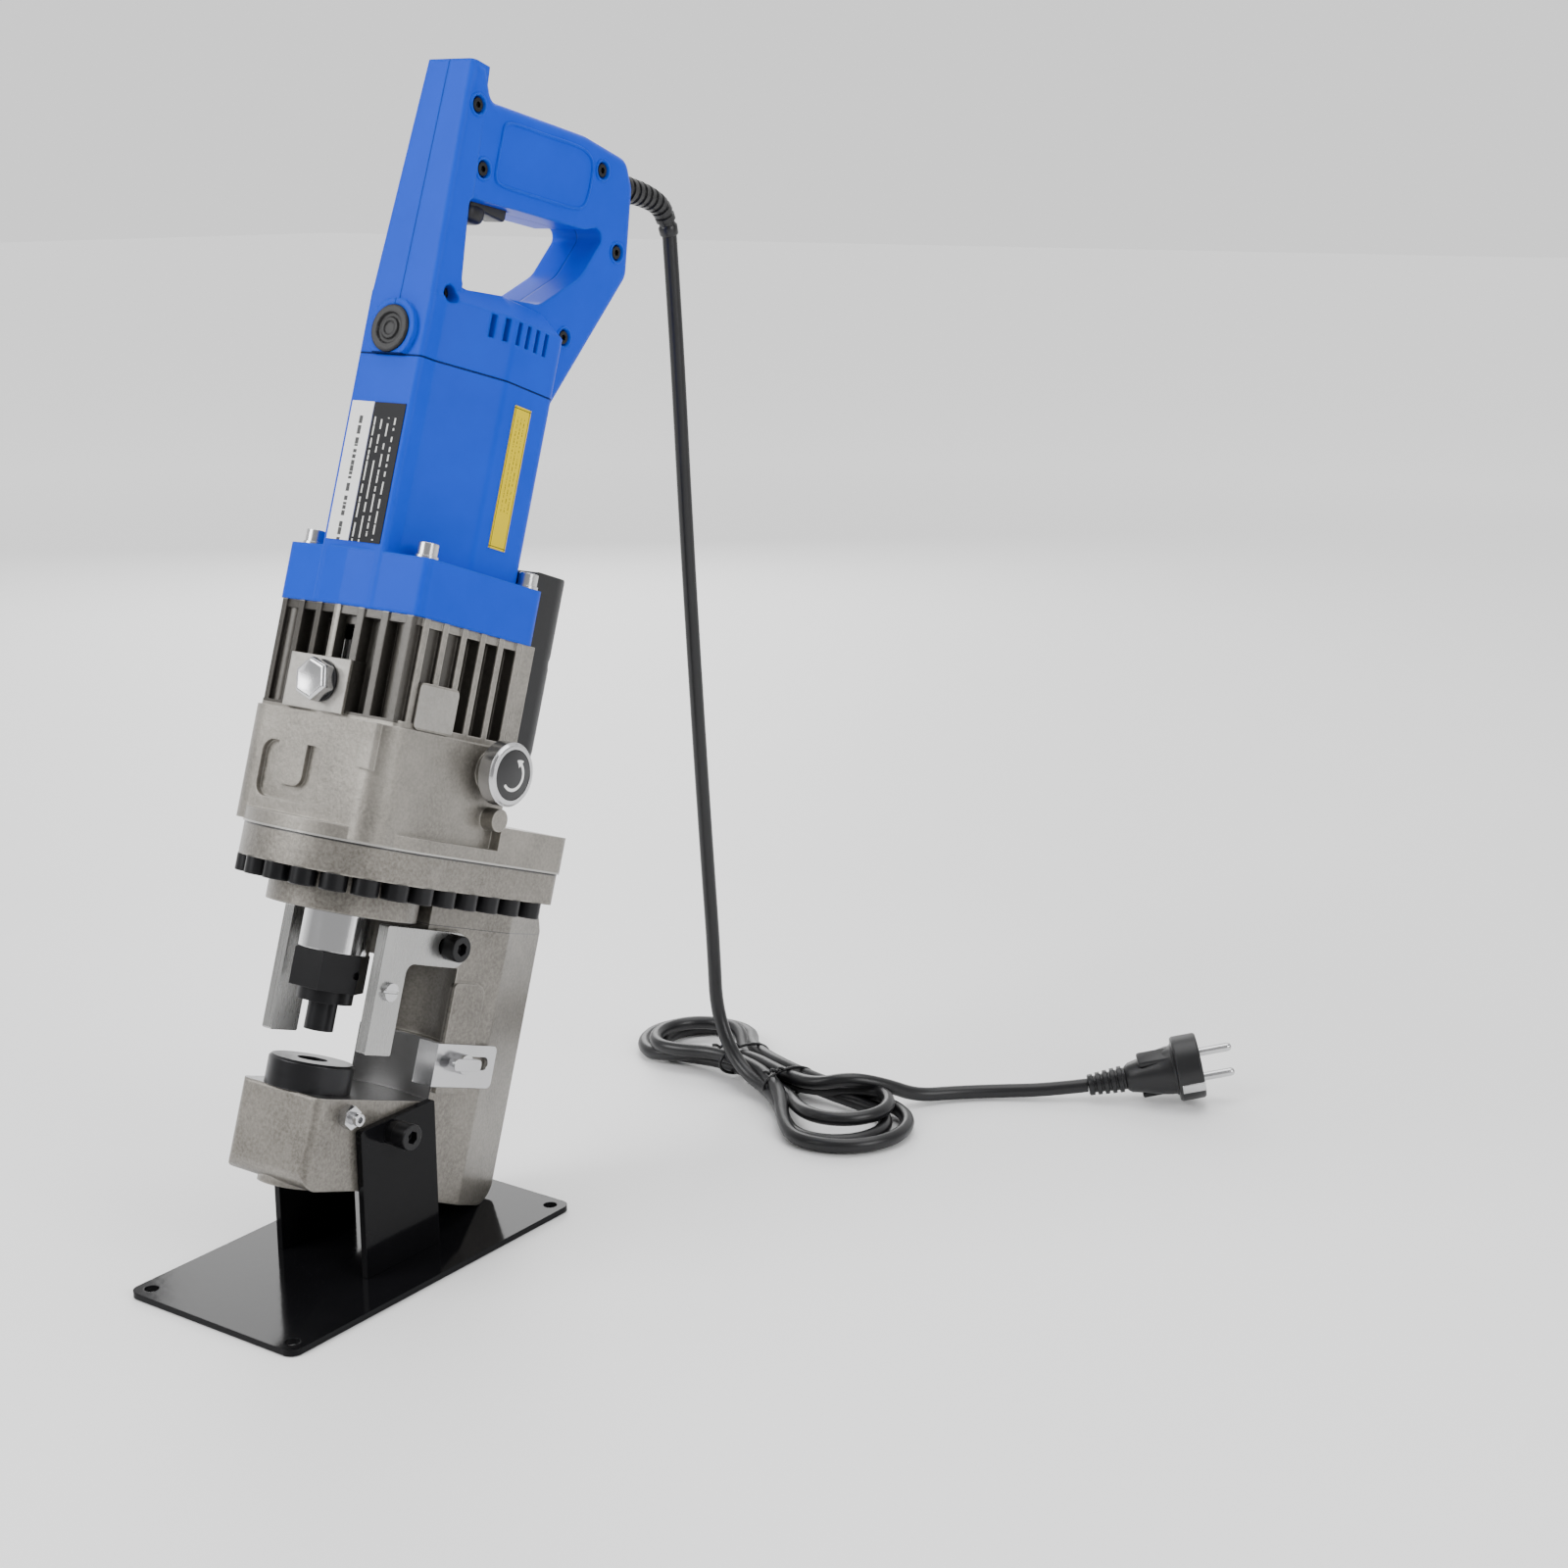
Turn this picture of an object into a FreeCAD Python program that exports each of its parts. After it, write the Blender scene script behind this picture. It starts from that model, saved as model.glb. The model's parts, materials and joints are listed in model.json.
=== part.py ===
import FreeCAD, Part
import math
import os
from FreeCAD import Placement, Rotation, Vector

os.makedirs("parts", exist_ok=True)

# Portable electro-hydraulic hole puncher on a bench stand, in millimetres.
# Row frame: Z up, Y towards the handle side, X to the side that carries the release knob.
# Origin: centre of the four base-plate holes, on the underside of the base plate.
# Tool frame: x, v, w, with w along the punch axis and its origin on that axis at the die's top.

# ---- fits -------------------------------------------------------------------------------
slidingGap = 0.05        # radial clearance of rod, piston, spindle and plungers
bearingGap = 0.03        # radial clearance of a shaft in its bearing
threadGap = 0.05         # radial clearance of a screw in its tapped hole
boltGap = 0.5            # radial clearance of a screw in a plain hole
bodyGap = 0.4            # gap between pieces that move past each other

# ---- stand ------------------------------------------------------------------------------
plateWidth = 110.0
plateDepth = 197.0
plateThick = 3.0
plateCorner = 6.0
plateHoleRadius = 3.5
plateHoleInset = 7.9
uprightThick = 3.5
uprightDepth = 50.6
uprightHeight = 75.5
uprightFront = -25.0
uprightCorner = 1.5
standBoltY = -4.0
standBoltDrop = 6.9      # bolt axis below the upright's top edge
standBoltSize = 8.0
spacerRadius = 6.0
spacerLength = 5.0
standBoltDepth = 12.5    # how far the bolt reaches into the jaw

# ---- tool frame on the stand ------------------------------------------------------------
tiltDeg = 19.0
pivotV = 31.5            # tapped hole for the stand bolts, in the tool frame
pivotW = -28.5

# ---- C-frame ----------------------------------------------------------------------------
frameHalf = 26.5
uprightSideGap = 0.5
jawFront = -18.0
jawCorner = 5.0
jawTurnV = 18.0           # where the jaw's underside turns up to the heel
jawTop = -14.0
jawBottom = -58.0
heelV = 121.0
heelW = -52.0
heelLift = 0.05
spineShoulderV = 95.0
spineBackHalf = 12.0
spineBackTop = 71.0
wallRadius = 63.0        # machined throat wall about the punch axis
wallTop = 15.0
castWallRadius = 40.0
castWallCentre = 30.5
castWallTop = 52.0
gussetFront = 34.0
headBottom = 72.0
headRadius = 36.0
headShelf = 8.0          # how far the spine's top runs up into the flange
sealHeight = 5.0
sealWall = 4.0
sealLift = 2.0           # seal groove above the head's underside
flangeBottom = 90.5
flangeJoint = 106.0
flangeHalf = 53.0
flangeBack = 97.0
flangeTop = 113.0
earTop = 124.5
earFront = 42.0
screwInset = 6.5
flangeScrewSize = 8.0
flangeFrontScrews = 11
flangeSideScrews = 5
flangeTaper = 0.8        # the frame's flange is this much smaller all round

# ---- ram, punch and die -----------------------------------------------------------------
ramRadius = 17.0
pistonRadius = 26.0
pistonBottom = 110.0
pistonThick = 15.0
boreBottom = 82.0
boreTop = 127.0
strokeLength = 17.0
nutAcross = 32.0
nutBottom = 34.0
nutTop = 52.5
neckRadius = 12.0
noseRadius = 13.5
noseBottom = 28.0
punchRadius = 7.0
punchTip = 14.0
punchHeadRadius = 10.0
punchHeadBottom = 40.0
punchHeadTop = 46.0
dieRadius = 20.5
dieShankRadius = 16.0
dieShankLength = 15.0
dieBoreRadius = 7.3
slugRadius = 12.0
slugBossWall = 3.0
slugBossDrop = 2.0
dieChamfer = 1.2
lockV = 1.2              # die lock screw, its nut and their height below the jaw's top
lockDrop = 8.0
lockRadius = 3.0
lockNutAcross = 10.0
lockNutThick = 5.0
lockProud = 9.5          # screw end outside the frame's side
lockSocket = 3.0
springWire = 1.8
springOffset = 0.1       # coil centre outside the middle of the annular gap
springTurns = 2.5
ringGrooveLift = 5.0     # piston seal groove above the piston's underside
ringGrooveHeight = 4.0
ringGrooveDepth = 3.0

# ---- strippers and back gauge -----------------------------------------------------------
stripperPad = 1.5        # how far the cast pads stand out from the frame
stripperTab = 10.6       # overlap of the gauge's stop tab past the stripper's inner face
stripperThick = 6.0
stripperTop = 70.0
stripperArm = 17.0
stripperFront = -2.5
stripperLegBack = 15.3
stripperBottom = 8.5
stripperArmBack = 56.0
stripperArmV = 43.0      # cap screw through the arm's slot
stripperArmW = 63.0
stripperArmScrew = 8.0
stripperArmDepth = 20.0
stripperSlotHalf = 4.5
stripperSlotRun = 6.5    # slot past the screw, towards the back
stripperSlotLead = 8.0   # slot ahead of the screw
stripperLegV = 6.0       # small screw in the leg
stripperLegW = 39.0
stripperLegScrew = 2.5
stripperLegHead = 4.5
gaugeThick = 1.8
gaugeTravel = 20.0
gaugeScrewV = 70.0
gaugeScrewW = 6.0
gaugeScrewRadius = 3.0
gaugeBottom = -6.4
gaugeTop = 15.0
gaugeFront = 53.5
gaugeBack = 98.5
gaugeSlotHalf = 3.3

# ---- pump housing -----------------------------------------------------------------------
pumpHalf = 47.0
pumpFront = -41.0
pumpBack = 50.0
pumpCorner = 14.0
finBottom = 161.5
collarBottom = 213.0
collarTop = 240.0
collarHalf = 44.7
collarRidge = -41.0
collarCorner = -34.3
collarBack = 50.8
finPitch = 13.4
finThick = 3.6
finDepth = 7.0
oilPlugW = 176.5
oilPlugAcross = 18.0
oilPlugHeight = 6.0
oilPlugThread = 5.0
oilWasherRadius = 10.0
oilWasherThick = 1.2
padProud = 1.0           # oil plug's pad in front of the housing
knobV = 32.0
knobW = 150.0
knobRadius = 15.5
knobThick = 9.5
knobBossEnd = 52.2
spindleRadius = 4.0
gearV = -15.0            # axis of the drive gear and eccentric shaft
eccentricRadius = 9.0
eccentricThrow = 2.0
eccentricBottom = 150.0
eccentricTop = 166.0
plungerW = 158.0
plungerRadius = 4.0
plungerLength = 20.0
gearTeeth = 32
pinionTeeth = 8
gearModule = 1.0
gearBottom = 188.0
gearThick = 10.0
plateBottom = 205.0
bearingPlateThick = 7.0
bearingPlateRadius = 31.0
bearingPlateV = -4.0
motorBearing = 11.0      # outer radius of the motor's bearings
gearBearing = 8.0        # outer radius of the gear shaft's upper bearing
gearShaft = 6.0
gearStub = 4.0
coverHalf = 37.0
coverBottom = 155.0
coverTop = 250.0

# ---- motor and handle -------------------------------------------------------------------
motorV = gearV + gearModule * (gearTeeth + pinionTeeth) / 2
motorBore = 31.0
seamW = 332.0
channelHalf = 20.0
channelFront = -39.0
bodyHalf = 37.0
bodyBack = 45.0
statorBottom = 245.0
statorTop = 305.0
armatureRadius = 17.0
shaftRadius = 4.0
fanBottom = 220.0
fanHeight = 12.0
fanRadius = 27.0
fanHub = 9.0
fanBlades = 12
commutatorRadius = 12.0
brushW = 343.6
brushCapRadius = 11.4
brushBossRadius = 14.6
brushReach = 35.0        # outer end of each brush holder from the motor axis
gripHalf = 16.0
pillarTopHalf = 15.0
handleTop = 474.0
shoulderW = 362.0
bodyTopW = 373.0
triggerFront = -12.0
triggerBack = 15.0
triggerBottom = 405.0
triggerTop = 426.0
triggerHalf = 7.0
triggerTravel = 5.0
ventCount = 6
ventPitch = 6.6
ventWidth = 2.6
ventFront = -9.0
handleScrewSize = 4.0
screwRecess = 4.2
screwSeat = 12.0
labelThick = 0.4

# ---- lead -------------------------------------------------------------------------------
cordRadius = 4.0
guardRadius = 6.5
hankX = 40.0
hankY = 295.0
hankTurnDeg = -21.15
hankLength = 232.0
hankEndHalf = 40.0
hankWaistHalf = 17.0
hankHeight = 24.0
plugFlangeRadius = 19.0

# ---- derived places ---------------------------------------------------------------------
tilt = math.radians(tiltDeg)
uprightIn = frameHalf + uprightSideGap
springRadius = (ramRadius + pistonRadius) / 2 + springOffset
stripperIn = frameHalf + stripperPad
uprightOut = uprightIn + uprightThick
uprightTop = plateThick + uprightHeight
standBoltZ = uprightTop - standBoltDrop
toolY = standBoltY - (pivotV * math.cos(tilt) + pivotW * math.sin(tilt))
toolZ = standBoltZ - (pivotW * math.cos(tilt) - pivotV * math.sin(tilt))
toolPlace = Placement(Vector(0, toolY, toolZ), Rotation(Vector(1, 0, 0), -tiltDeg))
heelRadius = toolZ - heelV * math.sin(tilt) + heelW * math.cos(tilt) - plateThick - heelLift

alongX = Vector(1, 0, 0)
alongV = Vector(0, 1, 0)
alongW = Vector(0, 0, 1)
planes = {
    "plan": (lambda a, b, level: Vector(a, b, level), alongW),
    "side": (lambda a, b, level: Vector(level, a, b), alongX),
    "front": (lambda a, b, level: Vector(a, level, b), alongV),
}


# ---- shape helpers ----------------------------------------------------------------------
def roundedWire(points, plane, level):
    # Closed wire through corners (a, b) or (a, b, radius) in the named plane.
    lift = planes[plane][0]
    corners = [(p[0], p[1], p[2] if len(p) > 2 else 0.0) for p in points]
    legs = []
    for i, (a, b, radius) in enumerate(corners):
        here = Vector(a, b, 0)
        before = (Vector(corners[i - 1][0], corners[i - 1][1], 0) - here).normalize()
        nextCorner = corners[(i + 1) % len(corners)]
        after = (Vector(nextCorner[0], nextCorner[1], 0) - here).normalize()
        half = before.getAngle(after) / 2
        if radius == 0:
            legs.append((here, None, here))
            continue
        back = radius / math.tan(half)
        bisector = (before + after).normalize()
        middle = here + bisector * (radius / math.sin(half) - radius)
        legs.append((here + before * back, middle, here + after * back))
    edges = []
    for i, (start, middle, end) in enumerate(legs):
        if middle:
            arc = Part.Arc(lift(start.x, start.y, level), lift(middle.x, middle.y, level),
                           lift(end.x, end.y, level))
            edges.append(arc.toShape())
        following = legs[(i + 1) % len(legs)][0]
        if (following - end).Length > 1e-4:
            edges.append(Part.LineSegment(lift(end.x, end.y, level),
                                          lift(following.x, following.y, level)).toShape())
    return Part.Wire(edges)


def slab(points, plane, low, high):
    # Solid of a rounded outline between two levels along the plane's normal.
    normal = planes[plane][1]
    return Part.Face(roundedWire(points, plane, low)).extrude(normal * (high - low))


def block(x0, x1, y0, y1, z0, z1):
    return Part.makeBox(x1 - x0, y1 - y0, z1 - z0, Vector(x0, y0, z0))


def rod(radius, start, direction, length):
    return Part.makeCylinder(radius, length, start, direction)


def post(radius, v, low, high, x=0.0):
    return rod(radius, Vector(x, v, low), alongW, high - low)


def ring(outer, inner, v, low, high, x=0.0):
    return post(outer, v, low, high, x).cut(post(inner, v, low - 1, high + 1, x))


def hexagon(across, start, direction, length, turnDeg=0.0):
    # Hexagonal prism of a width across flats, along X, V or W.
    corner = across / math.sqrt(3)
    plane = "plan" if abs(direction.z) > 0.5 else "side" if abs(direction.x) > 0.5 else "front"
    points = []
    for k in range(6):
        angle = math.radians(60 * k + 30 + turnDeg)
        points.append((corner * math.cos(angle), corner * math.sin(angle)))
    sign = direction.x + direction.y + direction.z
    solid = slab(points, plane, min(0, sign * length), max(0, sign * length))
    solid.translate(start)
    return solid


def capScrew(seat, into, size, length):
    # Socket-head cap screw whose head sits on the seat point, shank pointing into the work.
    head = rod(0.8125 * size, seat - into * size, into, size)
    head = head.makeFillet(0.08 * size, [e for e in head.Edges
                                         if (e.CenterOfMass - (seat - into * size)).Length < 0.01
                                         and e.Closed])
    head = head.cut(hexagon(0.75 * size, seat - into * size, into, 0.5 * size))
    return head.fuse(rod(size / 2, seat, into, length)).removeSplitter()


def hole(seat, into, radius, length, lead=1.0):
    return rod(radius, seat - into * lead, into, length + lead)


def fuseAll(shapes):
    solid = shapes[0].multiFuse(shapes[1:]) if len(shapes) > 1 else shapes[0]
    return solid.removeSplitter()


def flip(shape):
    return shape.mirror(Vector(0, 0, 0), alongX)


def toothedWheel(teeth, module, v, low, high, phaseDeg):
    # Straight-flanked gear with backlash enough to run.
    pitch = module * teeth / 2
    points = []
    for k in range(teeth):
        centre = math.radians(phaseDeg + 360.0 * k / teeth)
        for radius, halfWidth, side in ((pitch - 1.2 * module, 0.95, -1), (pitch + 0.9 * module, 0.32, -1),
                                        (pitch + 0.9 * module, 0.32, 1), (pitch - 1.2 * module, 0.95, 1)):
            angle = centre + side * halfWidth * module / radius
            points.append((radius * math.cos(angle), radius * math.sin(angle) + v))
    return slab(points, "plan", low, high)


def roundedTube(points, radius):
    # Straight runs joined by tangent arcs, each as large as its two runs allow.
    places = [Vector(*p) for p in points]
    edges = []
    start = places[0]
    radii = []
    for before, here, after in zip(places, places[1:], places[2:]):
        inward = (here - before).normalize()
        outward = (after - here).normalize()
        turn = inward.getAngle(outward)
        reach = 0.45 * min((here - before).Length, (after - here).Length)
        bend = reach / math.tan(turn / 2)
        radii.append(round(bend, 1))
        first = here - inward * reach
        last = here + outward * reach
        toCentre = (outward - inward).normalize()
        centre = here + toCentre * math.hypot(bend, reach)
        edges.append(Part.LineSegment(start, first).toShape())
        edges.append(Part.Arc(first, centre - toCentre * bend, last).toShape())
        start = last
    edges.append(Part.LineSegment(start, places[-1]).toShape())
    path = Part.Wire(edges)
    direction = (places[1] - places[0]).normalize()
    profile = Part.Wire([Part.makeCircle(radius, places[0], direction)])
    solid = path.makePipeShell([profile], True, False)
    print("tube length", round(path.Length, 1), "volume ratio",
          round(solid.Volume / (math.pi * radius ** 2 * path.Length), 4), "radii", radii)
    return solid


def save(name, shapes, place=None):
    shapes = shapes if isinstance(shapes, list) else [shapes]
    solids = []
    for shape in shapes:
        for solid in shape.Solids:
            solid = solid.copy()
            if place:
                solid.Placement = place.multiply(solid.Placement)
            solids.append(solid)
    shape = solids[0] if len(solids) == 1 else Part.makeCompound(solids)
    if not shape.isValid():
        print("not valid:", name)
    shape.exportStep("parts/" + name + ".step")
    print(name, len(solids), [round(c, 1) for c in (shape.BoundBox.XMin, shape.BoundBox.XMax,
          shape.BoundBox.YMin, shape.BoundBox.YMax, shape.BoundBox.ZMin, shape.BoundBox.ZMax)])


def saveTool(name, shapes):
    save(name, shapes, toolPlace)


# ---- stand ------------------------------------------------------------------------------
def makeStand():
    halfX = plateWidth / 2
    halfY = plateDepth / 2
    plate = slab([(-halfX, -halfY, plateCorner), (halfX, -halfY, plateCorner),
                  (halfX, halfY, plateCorner), (-halfX, halfY, plateCorner)], "plan", 0, plateThick)
    for sx in (-1, 1):
        for sy in (-1, 1):
            centre = Vector(sx * (halfX - plateHoleInset), sy * (halfY - plateHoleInset), 0)
            plate = plate.cut(hole(centre, alongW, plateHoleRadius, plateThick + 1))
    save("stand_plate", plate)
    back = uprightFront + uprightDepth
    upright = slab([(uprightFront, plateThick), (back, plateThick), (back, uprightTop, uprightCorner),
                    (uprightFront, uprightTop, uprightCorner)], "side", uprightIn, uprightOut)
    axis = Vector(uprightIn, standBoltY, standBoltZ)
    upright = upright.cut(hole(axis, alongX, standBoltSize / 2 + boltGap, uprightThick + 1))
    save("upright_right", upright)
    save("upright_left", flip(upright))
    spacerEnd = uprightOut + spacerLength
    spacer = rod(spacerRadius, Vector(uprightOut, standBoltY, standBoltZ), alongX, spacerLength)
    spacer = spacer.cut(hole(axis, alongX, standBoltSize / 2 + boltGap, 2 * spacerEnd))
    save("stand_spacers", [spacer, flip(spacer)])
    bolt = capScrew(Vector(spacerEnd, standBoltY, standBoltZ), -alongX, standBoltSize,
                    spacerEnd - frameHalf + standBoltDepth)
    save("stand_bolts", [bolt, flip(bolt)])


# ---- C-frame with jaw, spine and cylinder head --------------------------------------------
def flangeOutline(inset):
    # Half circle about the punch axis at the front, straight sides to a rounded back.
    half = flangeHalf - inset
    back = flangeBack - inset
    front = Part.Face(Part.Wire(Part.makeCircle(half, Vector(0, 0, 0), alongW)))
    rear = Part.Face(roundedWire([(-half, 0), (half, 0), (half, back, 8), (-half, back, 8)], "plan", 0))
    return front.fuse(rear).removeSplitter().Faces[0]


def flangeSlab(inset, low, high):
    face = flangeOutline(inset)
    face.translate(Vector(0, 0, low))
    return face.extrude(Vector(0, 0, high - low))


def flangeScrewPlaces():
    run = flangeHalf - screwInset
    places = []
    for k in range(flangeFrontScrews):
        angle = math.pi * (1 + k / (flangeFrontScrews - 1))
        places.append((run * math.cos(angle), run * math.sin(angle)))
    sideStep = (flangeBack - screwInset - 4) / (flangeSideScrews + 0.4)
    for k in range(flangeSideScrews):
        for side in (-1, 1):
            places.append((side * run, sideStep * (k + 1)))
    return places


def makeFrame():
    drop = math.atan2(jawBottom - heelW, heelV - jawTurnV)
    reach = math.hypot(jawBottom - heelW, heelV - jawTurnV)
    lean = -(drop + math.asin(heelRadius / reach))
    heelTangent = (heelV + heelRadius * math.sin(lean), heelW - heelRadius * math.cos(lean))
    backV = heelV + heelRadius
    profile = [(jawFront, jawTop, 1.5), (jawFront, jawBottom, 8), (jawTurnV, jawBottom, 6),
               (heelTangent[0], heelTangent[1]), (backV, heelW), (backV, spineBackTop, 4),
               (backV - 8, spineBackTop + 11, 4), (flangeBack, flangeBottom + headShelf),
               (60, flangeBottom + headShelf), (gussetFront, flangeBottom + headShelf),
               (gussetFront, jawTop)]
    solid = slab(profile, "side", -frameHalf, frameHalf)
    heel = rod(heelRadius, Vector(-frameHalf, heelV, heelW), alongX, 2 * frameHalf)
    plan = slab([(-frameHalf, jawFront, jawCorner), (frameHalf, jawFront, jawCorner),
                 (frameHalf, spineShoulderV, 6),
                 (spineBackHalf, backV, 4), (-spineBackHalf, backV, 4), (-frameHalf, spineShoulderV, 6)],
                "plan", heelW - heelRadius - 10, flangeJoint)
    solid = solid.fuse(heel).common(plan)
    solid = solid.cut(post(wallRadius, 0, jawTop, wallTop))
    throat = post(castWallRadius, castWallCentre, wallTop, castWallTop)
    front = block(-2 * frameHalf, 2 * frameHalf, jawFront - 10, castWallCentre, wallTop, castWallTop)
    above = block(-2 * frameHalf, 2 * frameHalf, jawFront - 10, gussetFront, castWallTop, headBottom)
    solid = solid.cut(throat).cut(front).cut(above)
    extras = [post(headRadius, 0, headBottom, flangeBottom + 1),
              flangeSlab(flangeTaper, flangeBottom, flangeJoint),
              post(slugRadius + slugBossWall, 0, jawBottom - slugBossDrop, jawBottom + 5)]
    pad = slab([(60, -5, 3), (83, -5, 3), (83, 45, 6), (60, 45, 3)], "side", frameHalf - 2, stripperIn)
    rail = block(frameHalf - 1, stripperIn + 2, 58, 81, -9.5, -6.5)
    armSeat = slab([(35.5, 55, 4), (58, 55, 4), (58, 70.5, 4), (35.5, 70.5, 4)], "side",
                   frameHalf - 2, stripperIn)
    solid = fuseAll([solid, pad, flip(pad), rail, armSeat, flip(armSeat)] + extras)
    sealLow = headBottom + sealLift
    sealHigh = sealLow + sealHeight
    cuts = [post(ramRadius + slidingGap, 0, headBottom - 1, boreBottom + 1),
            post(pistonRadius + slidingGap, 0, boreBottom, flangeJoint + 1),
            ring(ramRadius + sealWall, ramRadius, 0, sealLow, sealHigh),
            post(dieShankRadius + slidingGap, 0, jawTop - dieShankLength - 0.5, jawTop + 1),
            post(slugRadius, 0, jawBottom - 10, jawTop)]
    for x, v in flangeScrewPlaces():
        cuts.append(post(flangeScrewSize / 2 + boltGap, v, flangeBottom - 1, flangeJoint + 1, x))
    for side in (-1, 1):
        boltMouth = Vector(side * frameHalf, pivotV, pivotW)
        cuts.append(hole(boltMouth, -alongX * side, standBoltSize / 2 + threadGap, standBoltDepth + 1))
        armMouth = Vector(side * stripperIn, stripperArmV, stripperArmW)
        cuts.append(hole(armMouth, -alongX * side, stripperArmScrew / 2 + threadGap, stripperArmDepth - 1))
    gaugeMouth = Vector(stripperIn, gaugeScrewV, gaugeScrewW)
    cuts.append(hole(gaugeMouth, -alongX, gaugeScrewRadius + threadGap, 14))
    lockDepth = frameHalf - dieShankRadius + 1.5
    lockMouth = Vector(frameHalf, lockV, jawTop - lockDrop)
    cuts.append(hole(lockMouth, -alongX, lockRadius + threadGap, lockDepth))
    for cutter in cuts:
        solid = solid.cut(cutter)
    saveTool("c_frame", solid)
    screws = [capScrew(Vector(x, v, flangeBottom), alongW, flangeScrewSize, flangeTop - flangeBottom - 1)
              for x, v in flangeScrewPlaces()]
    saveTool("flange_screws", screws)
    saveTool("rod_seal", ring(ramRadius + sealWall, ramRadius + slidingGap, 0, sealLow, sealHigh))


# ---- die and its lock ---------------------------------------------------------------------
def makeDie():
    die = post(dieRadius, 0, jawTop, -dieChamfer)
    edge = Vector(0, 0, -dieChamfer)
    die = die.fuse(Part.makeCone(dieRadius, dieRadius - dieChamfer, dieChamfer, edge, alongW))
    die = die.fuse(post(dieShankRadius, 0, jawTop - dieShankLength, jawTop))
    die = die.cut(post(dieBoreRadius, 0, jawTop - dieShankLength - 1, 1))
    die = die.cut(post(slugRadius - 2, 0, jawTop - dieShankLength - 1, jawTop))
    saveTool("die", die.removeSplitter())
    lockW = jawTop - lockDrop
    screwEnd = frameHalf + lockProud
    screw = rod(lockRadius, Vector(dieShankRadius, lockV, lockW), alongX, screwEnd - dieShankRadius)
    screw = screw.cut(hexagon(lockSocket, Vector(screwEnd, lockV, lockW), -alongX, lockSocket))
    saveTool("die_lock_screw", screw)
    nut = hexagon(lockNutAcross, Vector(frameHalf, lockV, lockW), alongX, lockNutThick)
    nut = nut.cut(hole(Vector(frameHalf, lockV, lockW), alongX, lockRadius + threadGap, lockNutThick + 1))
    saveTool("die_lock_nut", nut)


# ---- ram, punch and return spring ---------------------------------------------------------
def makeRam():
    pistonTop = pistonBottom + pistonThick
    ram = fuseAll([post(neckRadius, 0, punchHeadTop, nutTop + 1),
                   post(ramRadius, 0, nutTop, pistonBottom + 1),
                   post(pistonRadius, 0, pistonBottom, pistonTop)])
    grooveLow = pistonBottom + ringGrooveLift
    grooveHigh = grooveLow + ringGrooveHeight
    grooveRadius = pistonRadius - ringGrooveDepth
    groove = ring(pistonRadius + 1, grooveRadius, 0, grooveLow, grooveHigh)
    saveTool("ram", ram.cut(groove))
    saveTool("piston_seal", ring(pistonRadius + slidingGap / 2, grooveRadius, 0, grooveLow, grooveHigh))
    punch = fuseAll([post(punchRadius, 0, punchTip, punchHeadBottom + 1),
                     post(punchHeadRadius, 0, punchHeadBottom, punchHeadTop)])
    saveTool("punch", punch)
    nut = hexagon(nutAcross, Vector(0, 0, nutBottom), alongW, nutTop - nutBottom, 30)
    crown = nutAcross / 2 * 1.1
    nut = nut.common(Part.makeCone(crown + 6, crown, 6, Vector(0, 0, nutTop - 6), alongW)
                     .fuse(post(crown + 6, 0, nutBottom, nutTop - 6)))
    nut = nut.fuse(post(noseRadius, 0, noseBottom, nutBottom))
    nut = nut.cut(post(punchRadius + slidingGap, 0, noseBottom - 1, punchHeadBottom + 1))
    nut = nut.cut(post(punchHeadRadius + slidingGap, 0, punchHeadBottom, punchHeadTop))
    nut = nut.cut(post(neckRadius, 0, punchHeadTop, nutTop + 1))
    setW = (punchHeadBottom + punchHeadTop) / 2
    setScrew = rod(2, Vector(punchHeadRadius + slidingGap, 0, setW), alongX, nutAcross / 2 - punchHeadRadius)
    nut = nut.cut(hole(Vector(punchHeadRadius - 1, 0, setW), alongX, 2, nutAcross))
    saveTool("punch_nut", nut.removeSplitter())
    saveTool("punch_set_screw", setScrew)
    low = boreBottom + springWire + 0.1
    rise = pistonBottom - springWire - 0.2 - low
    steps = int(springTurns * 10)
    coil = []
    for k in range(steps + 1):
        angle = 2 * math.pi * k / 10
        coil.append((springRadius * math.cos(angle), springRadius * math.sin(angle), low + rise * k / steps))
    spring = roundedTube(coil, springWire)
    saveTool("return_spring", spring)


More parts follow.
